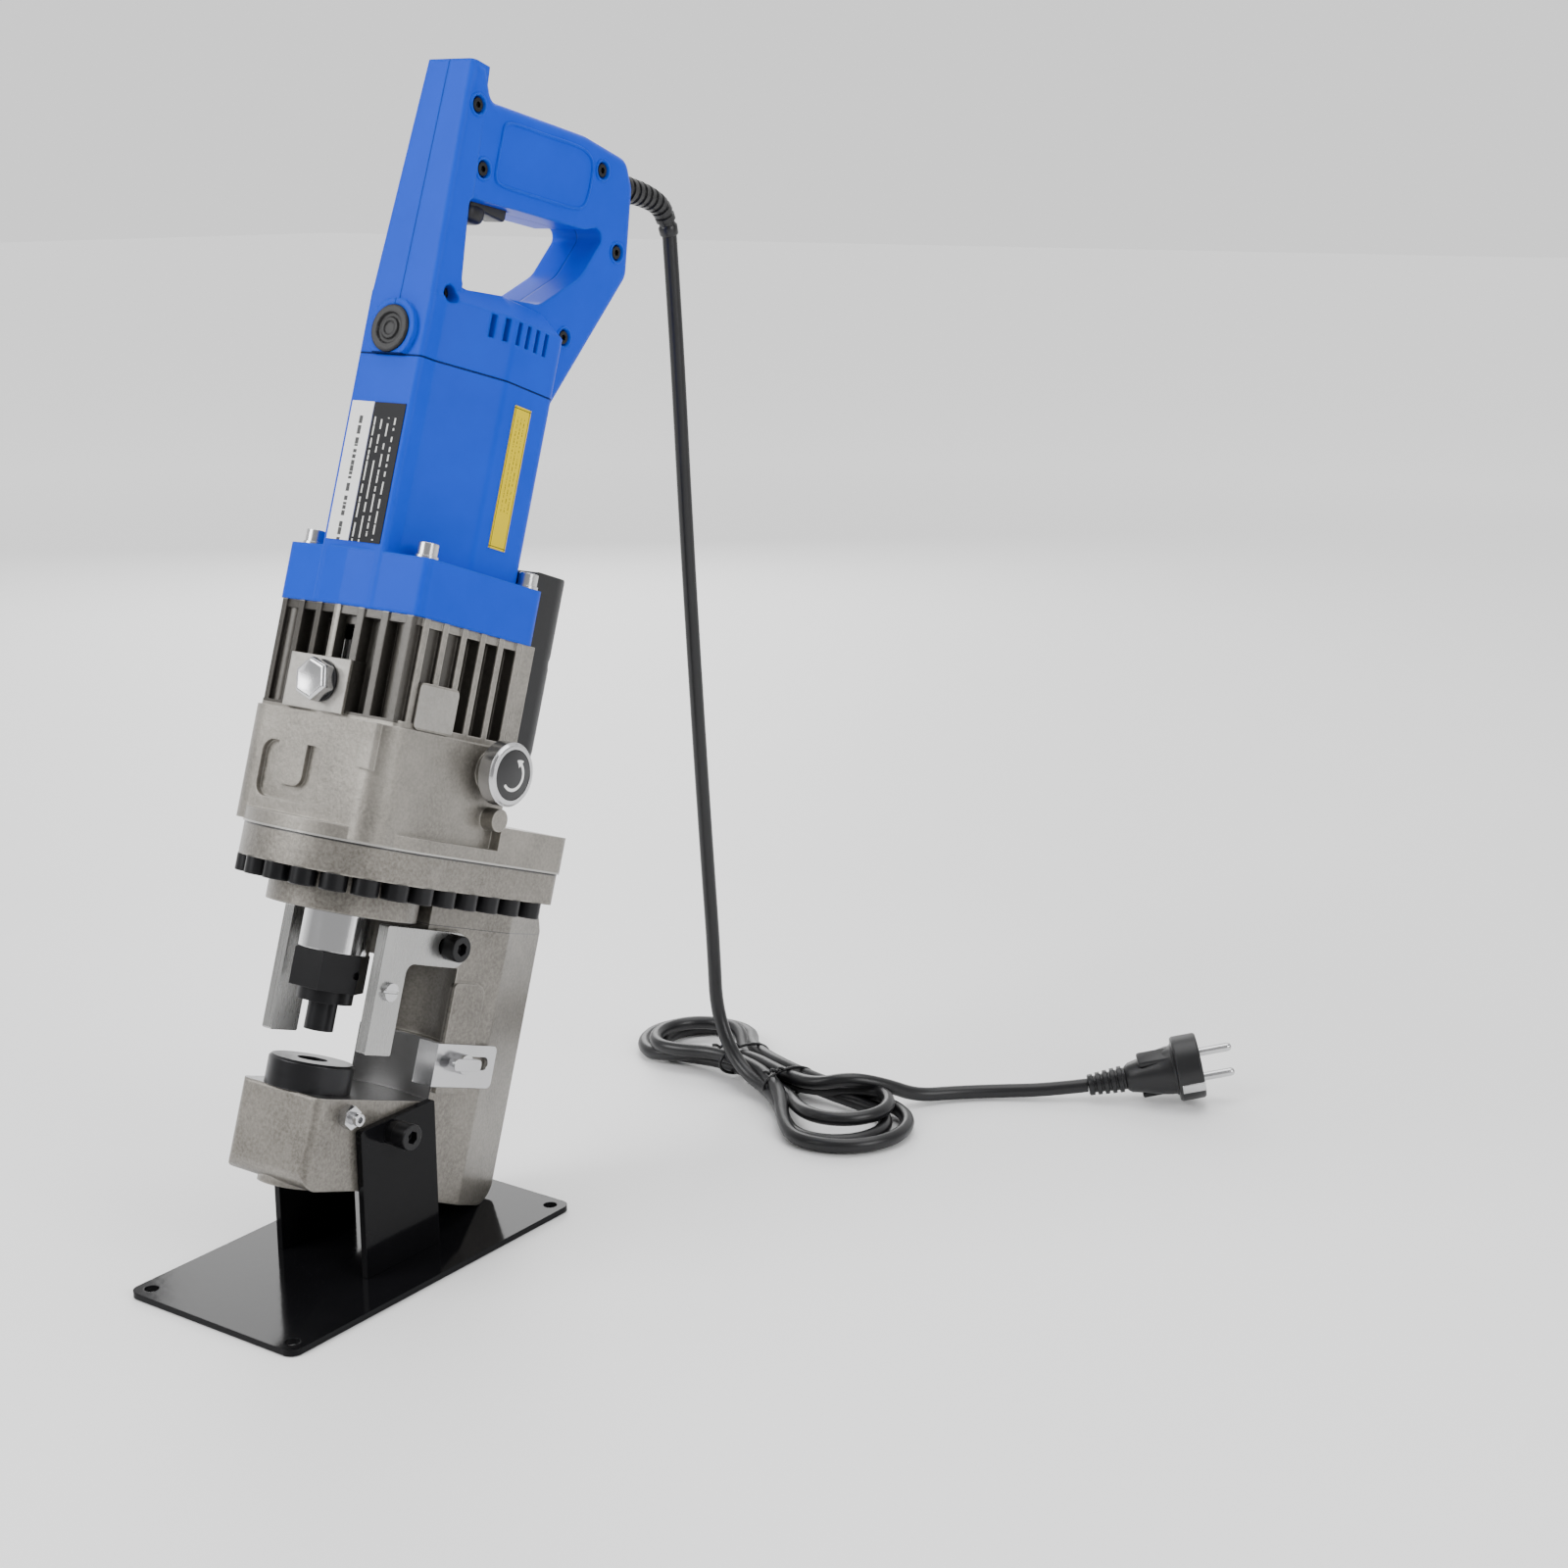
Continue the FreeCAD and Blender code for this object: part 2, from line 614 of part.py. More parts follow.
# ---- strippers and back gauge --------------------------------------------------------------
def makeStrippers():
    armBottom = stripperTop - stripperArm
    outline = [(stripperFront, stripperBottom, 1), (stripperLegBack, stripperBottom, 1),
               (stripperLegBack, armBottom, 5), (stripperArmBack, armBottom, 8),
               (stripperArmBack, stripperTop, 8), (stripperFront, stripperTop, 1)]
    out = stripperIn + stripperThick
    stripper = slab(outline, "side", stripperIn, out)
    slotEnd = stripperSlotHalf - 0.1
    slot = slab([(v, w, slotEnd) for v, w in (
        (stripperArmV - stripperSlotLead, stripperArmW - stripperSlotHalf),
        (stripperArmV + stripperSlotRun, stripperArmW - stripperSlotHalf),
        (stripperArmV + stripperSlotRun, stripperArmW + stripperSlotHalf),
        (stripperArmV - stripperSlotLead, stripperArmW + stripperSlotHalf))],
                "side", stripperIn - 1, out + 1)
    legPlace = Vector(out, stripperLegV, stripperLegW)
    legHole = hole(legPlace, -alongX, stripperLegScrew + threadGap, stripperThick + 2)
    stripper = stripper.cut(slot).cut(legHole)
    saveTool("stripper_right", stripper)
    saveTool("stripper_left", flip(stripper))
    armScrew = capScrew(Vector(out, stripperArmV, stripperArmW), -alongX, stripperArmScrew, stripperArmDepth)
    legShank = rod(stripperLegScrew, legPlace - alongX * stripperThick, alongX, stripperThick + 0.5)
    legHead = rod(stripperLegHead, legPlace, alongX, 2.2).fuse(legShank)
    legHead = legHead.cut(block(out + 1, out + 3, stripperLegV - 5, stripperLegV + 5,
                                stripperLegW - 0.6, stripperLegW + 0.6)).removeSplitter()
    saveTool("stripper_slot_screws", [armScrew, flip(armScrew)])
    saveTool("stripper_leg_screws", [legHead, flip(legHead)])


def makeGauge():
    inner = stripperIn + slidingGap
    outer = inner + gaugeThick
    plate = slab([(gaugeFront + 2.5, gaugeBottom, 1), (gaugeBack, gaugeBottom, 3), (gaugeBack, gaugeTop, 3),
                  (gaugeFront + 2.5, gaugeTop, 1)], "side", inner, outer)
    tab = block(stripperIn - stripperTab, outer, gaugeFront, gaugeFront + gaugeThick,
                gaugeBottom, gaugeTop)
    bridge = block(inner, outer, gaugeFront, gaugeFront + 3.5, gaugeBottom, gaugeTop)
    slotBack = gaugeScrewV + gaugeTravel + gaugeSlotHalf
    half = gaugeSlotHalf
    slot = slab([(gaugeScrewV - half, gaugeScrewW - half, half * 0.98),
                 (slotBack, gaugeScrewW - half, half * 0.98), (slotBack, gaugeScrewW + half, half * 0.98),
                 (gaugeScrewV - half, gaugeScrewW + half, half * 0.98)], "side", inner - 1, outer + 1)
    saveTool("gauge_plate", fuseAll([plate, tab, bridge]).cut(slot))
    seat = outer + 0.1
    wings = slab([(gaugeScrewV - 10, gaugeScrewW - 3, 2.5), (gaugeScrewV + 10, gaugeScrewW - 3, 2.5),
                  (gaugeScrewV + 10, gaugeScrewW + 3, 2.5), (gaugeScrewV - 10, gaugeScrewW + 3, 2.5)],
                 "side", seat + 3, seat + 7)
    screw = fuseAll([rod(5, Vector(seat, gaugeScrewV, gaugeScrewW), alongX, 6),
                     rod(gaugeScrewRadius, Vector(seat - 15, gaugeScrewV, gaugeScrewW), alongX, 16), wings])
    saveTool("gauge_screw", screw)


# ---- pump housing, valve and reservoir -------------------------------------------------------
def collarOutline(inset):
    return [(0, collarRidge + inset, 3), (collarHalf - inset, collarCorner + inset, 4),
            (collarHalf - inset, collarBack, 6), (-collarHalf + inset, collarBack, 6),
            (-collarHalf + inset, collarCorner + inset, 4)]


collarBoltPlaces = [(-36, -27), (36, -27), (38, 44), (-38, 44)]
collarBoltRadius = 3.0
collarWasherRadius = 5.6
collarWasherThick = 1.6
coverScrewPlaces = [(x, w) for x in (-31, 31) for w in (coverBottom + 6, collarBottom - 5)]


def finBlades(low, high):
    # Upright cooling blades on the front and on both sides, clipped to the collar's outline.
    blades = []
    count = int(collarHalf / finPitch)
    for k in range(-count, count + 1):
        x = k * finPitch
        blades.append(block(x - finThick / 2, x + finThick / 2, collarRidge - 2, 0, low, high))
    v = collarCorner + 5
    while v < collarBack - 8:
        blades.append(block(-collarHalf - 1, collarHalf + 1, v, v + finThick, low, high))
        v += finPitch
    return fuseAll(blades).common(slab(collarOutline(0), "plan", low, high))


def makePumpHousing():
    lower = slab([(-pumpHalf, pumpFront, pumpCorner), (pumpHalf, pumpFront, pumpCorner),
                  (pumpHalf, pumpBack, 5), (-pumpHalf, pumpBack, 5)], "plan", flangeJoint + 1, finBottom)
    ear = flangeSlab(0, flangeJoint, earTop).common(block(-60, 60, earFront, 110, flangeJoint, earTop))
    core = slab(collarOutline(finDepth), "plan", finBottom - 1, collarBottom)
    shelf = slab(collarOutline(0), "plan", finBottom - 6, finBottom + 3)
    topRim = slab(collarOutline(1), "plan", collarBottom - 4, collarBottom)
    backWall = block(-collarHalf, collarHalf, collarBack - 9, collarBack, coverBottom - 2, collarBottom)
    plugPad = block(-22, 16, pumpFront - padProud, pumpFront + 20, 162.6, 188)
    sidePad = slab([(-25, 162, 3), (2, 162, 3), (2, 184, 3), (-25, 184, 3)], "side", 30, 46)
    knobBoss = rod(10, Vector(pumpHalf - 20, knobV, knobW), alongX, knobBossEnd - pumpHalf + 20)
    smallBoss = rod(5.5, Vector(pumpHalf - 10, 37, knobW - knobRadius - 7), alongX, 18)
    rib = block(32, 40, pumpFront - 2, pumpFront + 10, 140, finBottom)
    columns = [post(6.3, v, finBottom - 1, collarBottom, x) for x, v in collarBoltPlaces]
    solid = fuseAll([flangeSlab(0, flangeJoint, flangeTop), lower, ear, core, shelf, topRim, backWall,
                     plugPad, sidePad, knobBoss, smallBoss, rib, finBlades(finBottom, collarBottom)]
                    + columns)
    relief = slab([(-30, 119, 6), (8, 119, 6), (8, 146, 6), (-30, 146, 6)], "front", pumpFront - 3,
                  pumpFront + 3)
    island = slab([(-20, 126, 5), (-2, 126, 5), (-2, 150, 0), (-20, 150, 0)], "front", pumpFront - 4,
                  pumpFront + 4)
    cuts = [relief.cut(island), post(pistonRadius + slidingGap, 0, flangeJoint - 1, boreTop),
            post(12.5, gearV, 138, 173), post(19, gearV, 172, plateBottom + 1),
            post(9, motorV, 180, plateBottom + 1),
            post(bearingPlateRadius, bearingPlateV, plateBottom, collarBottom + 1),
            hole(Vector(0, pumpFront - padProud, oilPlugW), alongV, oilPlugThread + threadGap, 7),
            hole(Vector(12.5, knobV, knobW), alongX, spindleRadius + slidingGap, 60, 0)]
    for side in (-1, 1):
        cuts.append(rod(plungerRadius + slidingGap, Vector(0, gearV, plungerW), alongX * side, 35))
    for x, v in flangeScrewPlaces():
        cuts.append(post(flangeScrewSize / 2 + threadGap, v, flangeJoint - 1, flangeTop - 0.6, x))
    for x, v in collarBoltPlaces:
        cuts.append(post(collarBoltRadius + threadGap, v, collarBottom - 16, collarBottom + 1, x))
    for x, w in coverScrewPlaces:
        cuts.append(hole(Vector(x, collarBack, w), -alongV, 2.5 + threadGap, 11))
    for cutter in cuts:
        solid = solid.cut(cutter)
    saveTool("pump_housing", solid)
    washerFace = Vector(0, pumpFront - padProud - oilWasherThick, oilPlugW)
    washer = rod(oilWasherRadius, washerFace, alongV, oilWasherThick)
    saveTool("oil_plug_washer", washer.cut(hole(washerFace, alongV, oilPlugThread + 0.2, 3)))
    plug = hexagon(oilPlugAcross, washerFace, -alongV, oilPlugHeight)
    plug = plug.fuse(rod(oilPlugThread, washerFace - alongV * 0.1, alongV, 7))
    saveTool("oil_plug", plug.removeSplitter())


def makeValve():
    knobIn = knobBossEnd + bodyGap
    knob = rod(knobRadius, Vector(knobIn, knobV, knobW), alongX, knobThick)
    dish = rod(knobRadius - 3.2, Vector(knobIn + knobThick - 1.0, knobV, knobW), alongX, 3)
    knob = knob.cut(dish)
    spindleEnd = knobIn + knobThick - 4
    spindle = rod(spindleRadius, Vector(20, knobV, knobW), alongX, spindleEnd - 20)
    saveTool("release_knob", knob.cut(spindle))
    saveTool("release_spindle", spindle)
    ball = Part.makeSphere(3.4, Vector(16.2, knobV, knobW))
    saveTool("release_ball", ball)


def makeReservoir():
    front = collarBack
    profile = [(front, coverBottom), (75, coverBottom, 8), (80, coverTop, 7), (front, coverTop, 2)]
    cover = slab(profile, "side", -coverHalf, coverHalf)
    trim = slab([(-coverHalf, front - 5), (coverHalf, front - 5), (coverHalf, 90, 14), (-coverHalf, 90, 14)],
                "plan", coverBottom - 5, coverTop + 5)
    trim.translate(Vector(0, -8, 0))
    cover = cover.common(trim)
    cavity = slab([(front - 1, coverBottom + 14), (front + 17, coverBottom + 14, 4),
                   (front + 20, collarBottom - 10, 4), (front - 1, collarBottom - 10)], "side", -25, 25)
    cover = cover.cut(cavity)
    seatV = 69.0
    screws = []
    for x, w in coverScrewPlaces:
        seat = Vector(x, seatV, w)
        cover = cover.cut(rod(4.6, seat, alongV, 20)).cut(hole(seat, -alongV, 2.5 + boltGap, 30))
        screws.append(capScrew(seat, -alongV, 5, seatV - front + 10))
    saveTool("reservoir_cover", cover)
    saveTool("reservoir_screws", screws)
    gap = 0.3
    bladder = slab([(front + gap, coverBottom + 14 + gap), (front + 17 - gap, coverBottom + 14 + gap, 4),
                    (front + 20 - gap, collarBottom - 10 - gap, 4), (front + gap, collarBottom - 10 - gap)],
                   "side", -25 + gap, 25 - gap)
    saveTool("reservoir_bladder", bladder)


# ---- drive train ---------------------------------------------------------------------------
def makeDrive():
    gear = toothedWheel(gearTeeth, gearModule, gearV, gearBottom, gearBottom + gearThick, 90.0)
    eccentric = post(eccentricRadius, gearV - eccentricThrow, eccentricBottom, eccentricTop)
    shaft = fuseAll([post(gearShaft, gearV, 140, gearBottom + gearThick), eccentric,
                     post(gearStub, gearV, gearBottom + gearThick - 1, plateBottom + 6)])
    saveTool("drive_gear", gear.cut(post(gearShaft, gearV, gearBottom - 1, gearBottom + gearThick + 1)))
    saveTool("eccentric_shaft", shaft)
    for side, name in ((-1, "pump_plunger_left"), (1, "pump_plunger_right")):
        tip = eccentricRadius + eccentricThrow + 0.1
        plunger = rod(plungerRadius, Vector(side * tip, gearV, plungerW), alongX * side, plungerLength)
        saveTool(name, plunger)
    plate = post(bearingPlateRadius, bearingPlateV, plateBottom, plateBottom + bearingPlateThick)
    plate = plate.cut(post(gearBearing, gearV, plateBottom + 1, plateBottom + 8))
    plate = plate.cut(post(5.5, gearV, plateBottom - 1, plateBottom + 2))
    plate = plate.cut(post(motorBearing, motorV, plateBottom + 1, plateBottom + 8))
    plate = plate.cut(post(7, motorV, plateBottom - 1, plateBottom + 2))
    saveTool("bearing_plate", plate)
    lower = ring(motorBearing, gearShaft + bearingGap, gearV, 139, 146)
    upper = ring(gearBearing, gearStub + bearingGap, gearV, plateBottom + 1, plateBottom + 7)
    motorLower = ring(motorBearing, shaftRadius + bearingGap, motorV, plateBottom + 1, plateBottom + 7)
    motorUpper = ring(motorBearing, shaftRadius + bearingGap, motorV, 358, 365)
    saveTool("bearings", [lower, upper, motorLower, motorUpper])


def makeMotor():
    pinion = toothedWheel(pinionTeeth, gearModule, motorV, gearBottom - 2, gearBottom + gearThick + 2,
                          270.0 + 180.0 / pinionTeeth)
    shaft = fuseAll([pinion, post(3.0, motorV, gearBottom - 2, plateBottom),
                     post(shaftRadius, motorV, gearBottom + gearThick + 2, 366),
                     post(armatureRadius, motorV, statorBottom + 2, statorTop - 2),
                     post(armatureRadius - 3, motorV, statorBottom - 8, statorTop + 9),
                     post(commutatorRadius, motorV, brushW - 9, brushW + 9)])
    saveTool("armature", shaft)
    fanTop = fanBottom + fanHeight
    fan = [ring(fanHub, shaftRadius, motorV, fanBottom, fanTop),
           ring(fanRadius, fanHub - 1, motorV, fanBottom, fanBottom + 2)]
    for k in range(fanBlades):
        blade = block(fanHub - 1, fanRadius, -1, 1, fanBottom, fanTop)
        blade.rotate(Vector(0, 0, 0), alongW, 360 / fanBlades * k)
        blade.translate(Vector(0, motorV, 0))
        fan.append(blade)
    saveTool("fan", fuseAll(fan))
    stator = ring(motorBore, armatureRadius + 0.6, motorV, statorBottom, statorTop)
    saveTool("stator", stator)
    holders = []
    for side in (-1, 1):
        start = motorV + side * (commutatorRadius + 0.3)
        end = motorV + side * brushReach
        holders.append(block(-4, 4, min(start, end), max(start, end), brushW - 4, brushW + 4))
    saveTool("brushes", holders)


def bodyOutline(grow=0.0):
    return [(-channelHalf, channelFront, 3), (channelHalf, channelFront, 3), (channelHalf + 1, -30),
            (bodyHalf, 3, 8), (bodyHalf, 37, 6), (29, bodyBack, 4), (-29, bodyBack, 4),
            (-bodyHalf, 37, 6), (-bodyHalf, 3, 8), (-channelHalf - 1, -30)]


def makeMotorHousing():
    body = slab(bodyOutline(), "plan", collarBottom, seamW)
    collar = slab(collarOutline(-0.3), "plan", collarBottom, collarTop)
    solid = fuseAll([body, collar])
    solid = solid.cut(post(motorBore, motorV, collarBottom - 1, seamW + 1))
    bolts = []
    washers = []
    for x, v in collarBoltPlaces:
        solid = solid.cut(post(collarBoltRadius + boltGap, v, collarBottom - 1, collarTop + 1, x))
        seatTop = collarTop + collarWasherThick
        washers.append(ring(collarWasherRadius, collarBoltRadius + boltGap, v, collarTop, seatTop, x))
        boltLength = seatTop - collarBottom + 14
        bolts.append(capScrew(Vector(x, v, seatTop), -alongW, 2 * collarBoltRadius, boltLength))
    saveTool("motor_housing", solid)
    saveTool("collar_bolts", bolts)
    saveTool("collar_washers", washers)
    strip = block(-17, -3, channelFront - labelThick, channelFront, collarTop + 3, 309)
    panel = block(-2.5, 17, channelFront - labelThick, channelFront, collarTop + 3, 309)
    saveTool("front_label", [strip, panel])
    saveTool("side_label", block(bodyHalf, bodyHalf + labelThick, 12, 24, 254, 323))


# ---- handle shells ---------------------------------------------------------------------------
gripOutline = [(channelFront + 2, shoulderW), (channelFront + 2.5, handleTop, 4), (-27, handleTop, 4),
               (-19, 460, 6), (52, 468.5, 30), (86, 468, 9), (94.5, 456, 8), (103, 412, 10),
               (65, 337, 6), (56, 318, 3), (bodyBack + 0.3, 318), (bodyBack + 0.3, seamW), (30, seamW)]
openingOutline = [(-25, 412, 5), (62, 424, 10), (82, 433, 5), (66, 401, 16), (40, 379, 14), (-21, 369, 5)]
handleScrewPlaces = [(-28.9, 454.5), (-17.5, 427.6), (67.3, 456), (90, 421), (62, 369), (-28, 364.5)]


def makeHandle():
    grip = slab(gripOutline, "side", 0, gripHalf)
    grip = grip.makeFillet(4.5, [e for e in grip.Edges if e.BoundBox.XMin > gripHalf - 0.01])
    base = slab(bodyOutline(), "plan", seamW, shoulderW)
    crown = Part.makeLoft([roundedWire(bodyOutline(), "plan", shoulderW),
                           roundedWire([(x * 0.62, v * 0.9 + 1, 2 if len(r) else 0)
                                        for x, v, *r in bodyOutline()], "plan", bodyTopW)], True, True)
    channelLow = [(-channelHalf, channelFront, 3), (channelHalf, channelFront, 3),
                  (channelHalf, -20), (-channelHalf, -20)]
    channelTop = [(-pillarTopHalf, channelFront + 2.5, 3), (pillarTopHalf, channelFront + 2.5, 3),
                  (pillarTopHalf, -25), (-pillarTopHalf, -25)]
    pillar = Part.makeLoft([roundedWire(channelLow, "plan", shoulderW),
                            roundedWire(channelTop, "plan", handleTop)], True, True)
    brushBoss = rod(brushBossRadius, Vector(0, channelFront - 2.5, brushW), alongV, 12)
    brushBoss = brushBoss.common(block(-20, 20, -60, 0, seamW, brushW + 20))
    whole = fuseAll([grip, flip(grip), base, crown, pillar, brushBoss])
    opening = slab(openingOutline, "side", -60, 60)
    slot = block(-triggerHalf - bodyGap, triggerHalf + bodyGap, triggerFront - bodyGap,
                 triggerBack + bodyGap,
                 triggerBottom, triggerTop + triggerTravel + 1.5)
    switchRoom = block(-11, 11, -12, 42, triggerTop + 4, 452)
    cuts = [opening, slot, switchRoom, post(27, motorV, seamW - 1, 357), post(11, motorV, 356, 365),
            post(6, motorV, 364, 367.5),
            block(-6, 6, motorV - brushReach - 1, motorV + brushReach + 1, seamW - 1, brushW + 5),
            rod(brushCapRadius, Vector(0, channelFront - 5, brushW), alongV, 12),
            rod(guardRadius, Vector(0, 74, 455.5), Vector(0, 1, 0.12).normalize(), 30)]
    for k in range(ventCount):
        v = ventFront + ventPitch * k
        for side in (-1, 1):
            cuts.append(block(min(side * 24, side * 40), max(side * 24, side * 40), v, v + ventWidth,
                              350, 361))
    for v, w in handleScrewPlaces:
        cuts.append(rod(handleScrewSize / 2 + threadGap, Vector(-screwSeat, v, w), alongX, 2 * screwSeat))
        cuts.append(rod(screwRecess, Vector(screwSeat, v, w), alongX, 15))
    for cutter in cuts:
        whole = whole.cut(cutter)
    saveTool("handle_right", whole.common(block(0, 80, -80, 140, 300, 500)))
    saveTool("handle_left", whole.common(block(-80, 0, -80, 140, 300, 500)))
    screws = []
    for v, w in handleScrewPlaces:
        screws.append(capScrew(Vector(screwSeat, v, w), -alongX, handleScrewSize, 20))
    saveTool("handle_screws", screws)
    cap = rod(brushCapRadius, Vector(0, channelFront - 4, brushW), alongV, 6)
    cap = cap.cut(block(-7, 7, channelFront - 5, channelFront - 2.4, brushW - 1, brushW + 1))
    saveTool("brush_cap", cap)
    lever = slab([(triggerFront, 414, 1), (triggerFront + 1, triggerBottom, 3), (triggerBack - 9, 406.5, 4),
                  (triggerBack, 412, 3), (triggerBack, triggerTop, 1), (triggerFront, triggerTop, 1)],
                 "side", -triggerHalf, triggerHalf)
    saveTool("trigger", lever)
    saveTool("switch_block", block(-11, 11, -11, 40, triggerTop + triggerTravel + 2, 451.5))


# ---- lead, hank and plug -----------------------------------------------------------------------
def toolPoint(v, w):
    return toolPlace.multVec(Vector(0, v, w))


def hankPoint(along, across, z):
    turn = math.radians(hankTurnDeg)
    return Vector(hankX + along * math.cos(turn) - across * math.sin(turn),
                  hankY + along * math.sin(turn) + across * math.cos(turn), z)


guardRoute = [toolPoint(84, 456.7), toolPoint(104, 459.1), toolPoint(124, 462), toolPoint(142, 460.5),
              toolPoint(149.5, 449)]
leadStart = guardRoute[-1]
floorZ = cordRadius + 0.1
leadRoute = [tuple(leadStart), (1.0, 267.0, 430.0), (3.0, 271.0, 330.0), (5.5, 276.0, 230.0),
             (8.0, 281.0, 140.0), (9.5, 285.0, 82.0), tuple(hankPoint(-26, -18, 40)),
             tuple(hankPoint(-6, -15, 12)), tuple(hankPoint(28, -12, floorZ + 2.2))]
tailRoute = [tuple(hankPoint(67, 36, 12)), tuple(hankPoint(70, 56, 5)), (139.0, 339.0, floorZ),
             (160.0, 357.0, floorZ), (183.0, 370.5, 5.5), (203.0, 383.5, 8.7)]
plugTurnDeg = 32.5
plugLiftDeg = 12.0


def makeLead():
    guard = roundedTube([tuple(p) for p in guardRoute], guardRadius)
    lead = roundedTube(leadRoute, cordRadius)
    tail = roundedTube(tailRoute, cordRadius)
    save("cord_guard", guard)
    save("cord_lead", lead.cut(guard))
    save("cord_tail", tail)
    half = hankLength / 2
    side = [(-half, -20, 18), (-half + 38, -hankEndHalf, 28), (0, -hankWaistHalf + 3, 60),
            (half - 38, -hankEndHalf, 28), (half, -20, 18)]
    outline = side + [(x, -y, r) for x, y, r in reversed(side)]
    hank = slab(outline, "plan", 0.3, hankHeight)
    place = Placement(Vector(hankX, hankY, 0), Rotation(alongW, hankTurnDeg))
    ties = []
    for along in (-24, 22):
        reach = hankWaistHalf + 7
        outer = block(along - 1.5, along + 1.5, -reach, reach, 0.3, hankHeight + 1)
        inner = block(along - 2, along + 2, -reach + 1.6, reach - 1.6, 1.9, hankHeight - 0.6)
        loop = outer.cut(inner)
        ties.append(loop)
        hank = hank.cut(loop)
    hank = max(hank.Solids, key=lambda s: s.Volume)
    hank.Placement = place.multiply(hank.Placement)
    save("cord_hank", hank.cut(lead).cut(tail))
    save("cord_ties", ties, place)
    plugTurn = Rotation(alongW, plugTurnDeg).multiply(Rotation(alongV, -plugLiftDeg))
    plugPlace = Placement(Vector(*tailRoute[-1]), plugTurn.multiply(Rotation(alongX, 20)))
    relief = Part.makeCone(6, 8.5, 22, Vector(0, 0, 0), alongX)
    waist = Part.makeCone(9, 14, 24, Vector(21, 0, 0), alongX)
    body = rod(14, Vector(45, 0, 0), alongX, 6)
    flange = rod(plugFlangeRadius, Vector(50, 0, 0), alongX, 15)
    plug = fuseAll([relief, waist, body, flange])
    plug.Placement = plugPlace
    save("plug_body", plug.cut(tail))
    pins = [rod(2.4, Vector(65, 0, z), alongX, 19) for z in (-9.5, 9.5)]
    save("plug_pins", pins, plugPlace)


makeStand()
makeFrame()
makeDie()
makeRam()
makeStrippers()
makeGauge()
makePumpHousing()
makeValve()
makeReservoir()
makeDrive()
makeMotor()
makeMotorHousing()
makeHandle()
makeLead()
print("nodes", len(os.listdir("parts")))
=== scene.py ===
import bpy
import math
import json
from mathutils import Matrix, Vector


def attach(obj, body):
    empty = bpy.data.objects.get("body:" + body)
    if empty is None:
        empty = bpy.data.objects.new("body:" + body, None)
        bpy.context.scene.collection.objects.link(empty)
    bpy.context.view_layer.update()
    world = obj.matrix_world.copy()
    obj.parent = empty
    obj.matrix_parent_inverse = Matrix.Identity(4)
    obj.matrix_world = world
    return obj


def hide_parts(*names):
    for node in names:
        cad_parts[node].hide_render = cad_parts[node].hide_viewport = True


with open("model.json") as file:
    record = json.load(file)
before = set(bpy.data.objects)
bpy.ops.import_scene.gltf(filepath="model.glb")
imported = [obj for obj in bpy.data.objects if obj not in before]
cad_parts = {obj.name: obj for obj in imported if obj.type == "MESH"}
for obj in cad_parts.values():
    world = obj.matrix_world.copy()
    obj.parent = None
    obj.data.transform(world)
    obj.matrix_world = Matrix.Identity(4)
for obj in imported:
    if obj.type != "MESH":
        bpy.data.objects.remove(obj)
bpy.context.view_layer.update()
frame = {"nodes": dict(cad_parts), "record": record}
nodes = frame["nodes"]

# The tool leans back on its stand: x stays x, v runs to the back, w runs up the punch axis.
lean = math.radians(19.0)
toolOrigin = Vector((0.0, -0.024505, 0.108803))
toolTurn = Matrix.Translation(toolOrigin) @ Matrix.Rotation(-lean, 4, "X")


def toolPoint(x, v, w):
    return toolTurn @ Vector((x, v, w))


# Camera and light.
def makeCamera():
    shot = {"place": (0.7978, -0.7853, 0.5191), "turn": 34.62, "down": 14.32, "lens": 55.37,
            "sensor": 36.0, "reach": 30.0}
    data = bpy.data.cameras.new("studioCamera")
    data.lens = shot["lens"]
    data.sensor_width = shot["sensor"]
    data.clip_end = shot["reach"]
    camera = bpy.data.objects.new("studioCamera", data)
    camera.location = shot["place"]
    camera.rotation_euler = (math.radians(90 - shot["down"]), 0, math.radians(shot["turn"]))
    bpy.context.scene.collection.objects.link(camera)
    bpy.context.scene.camera = camera
    print("camera placed")


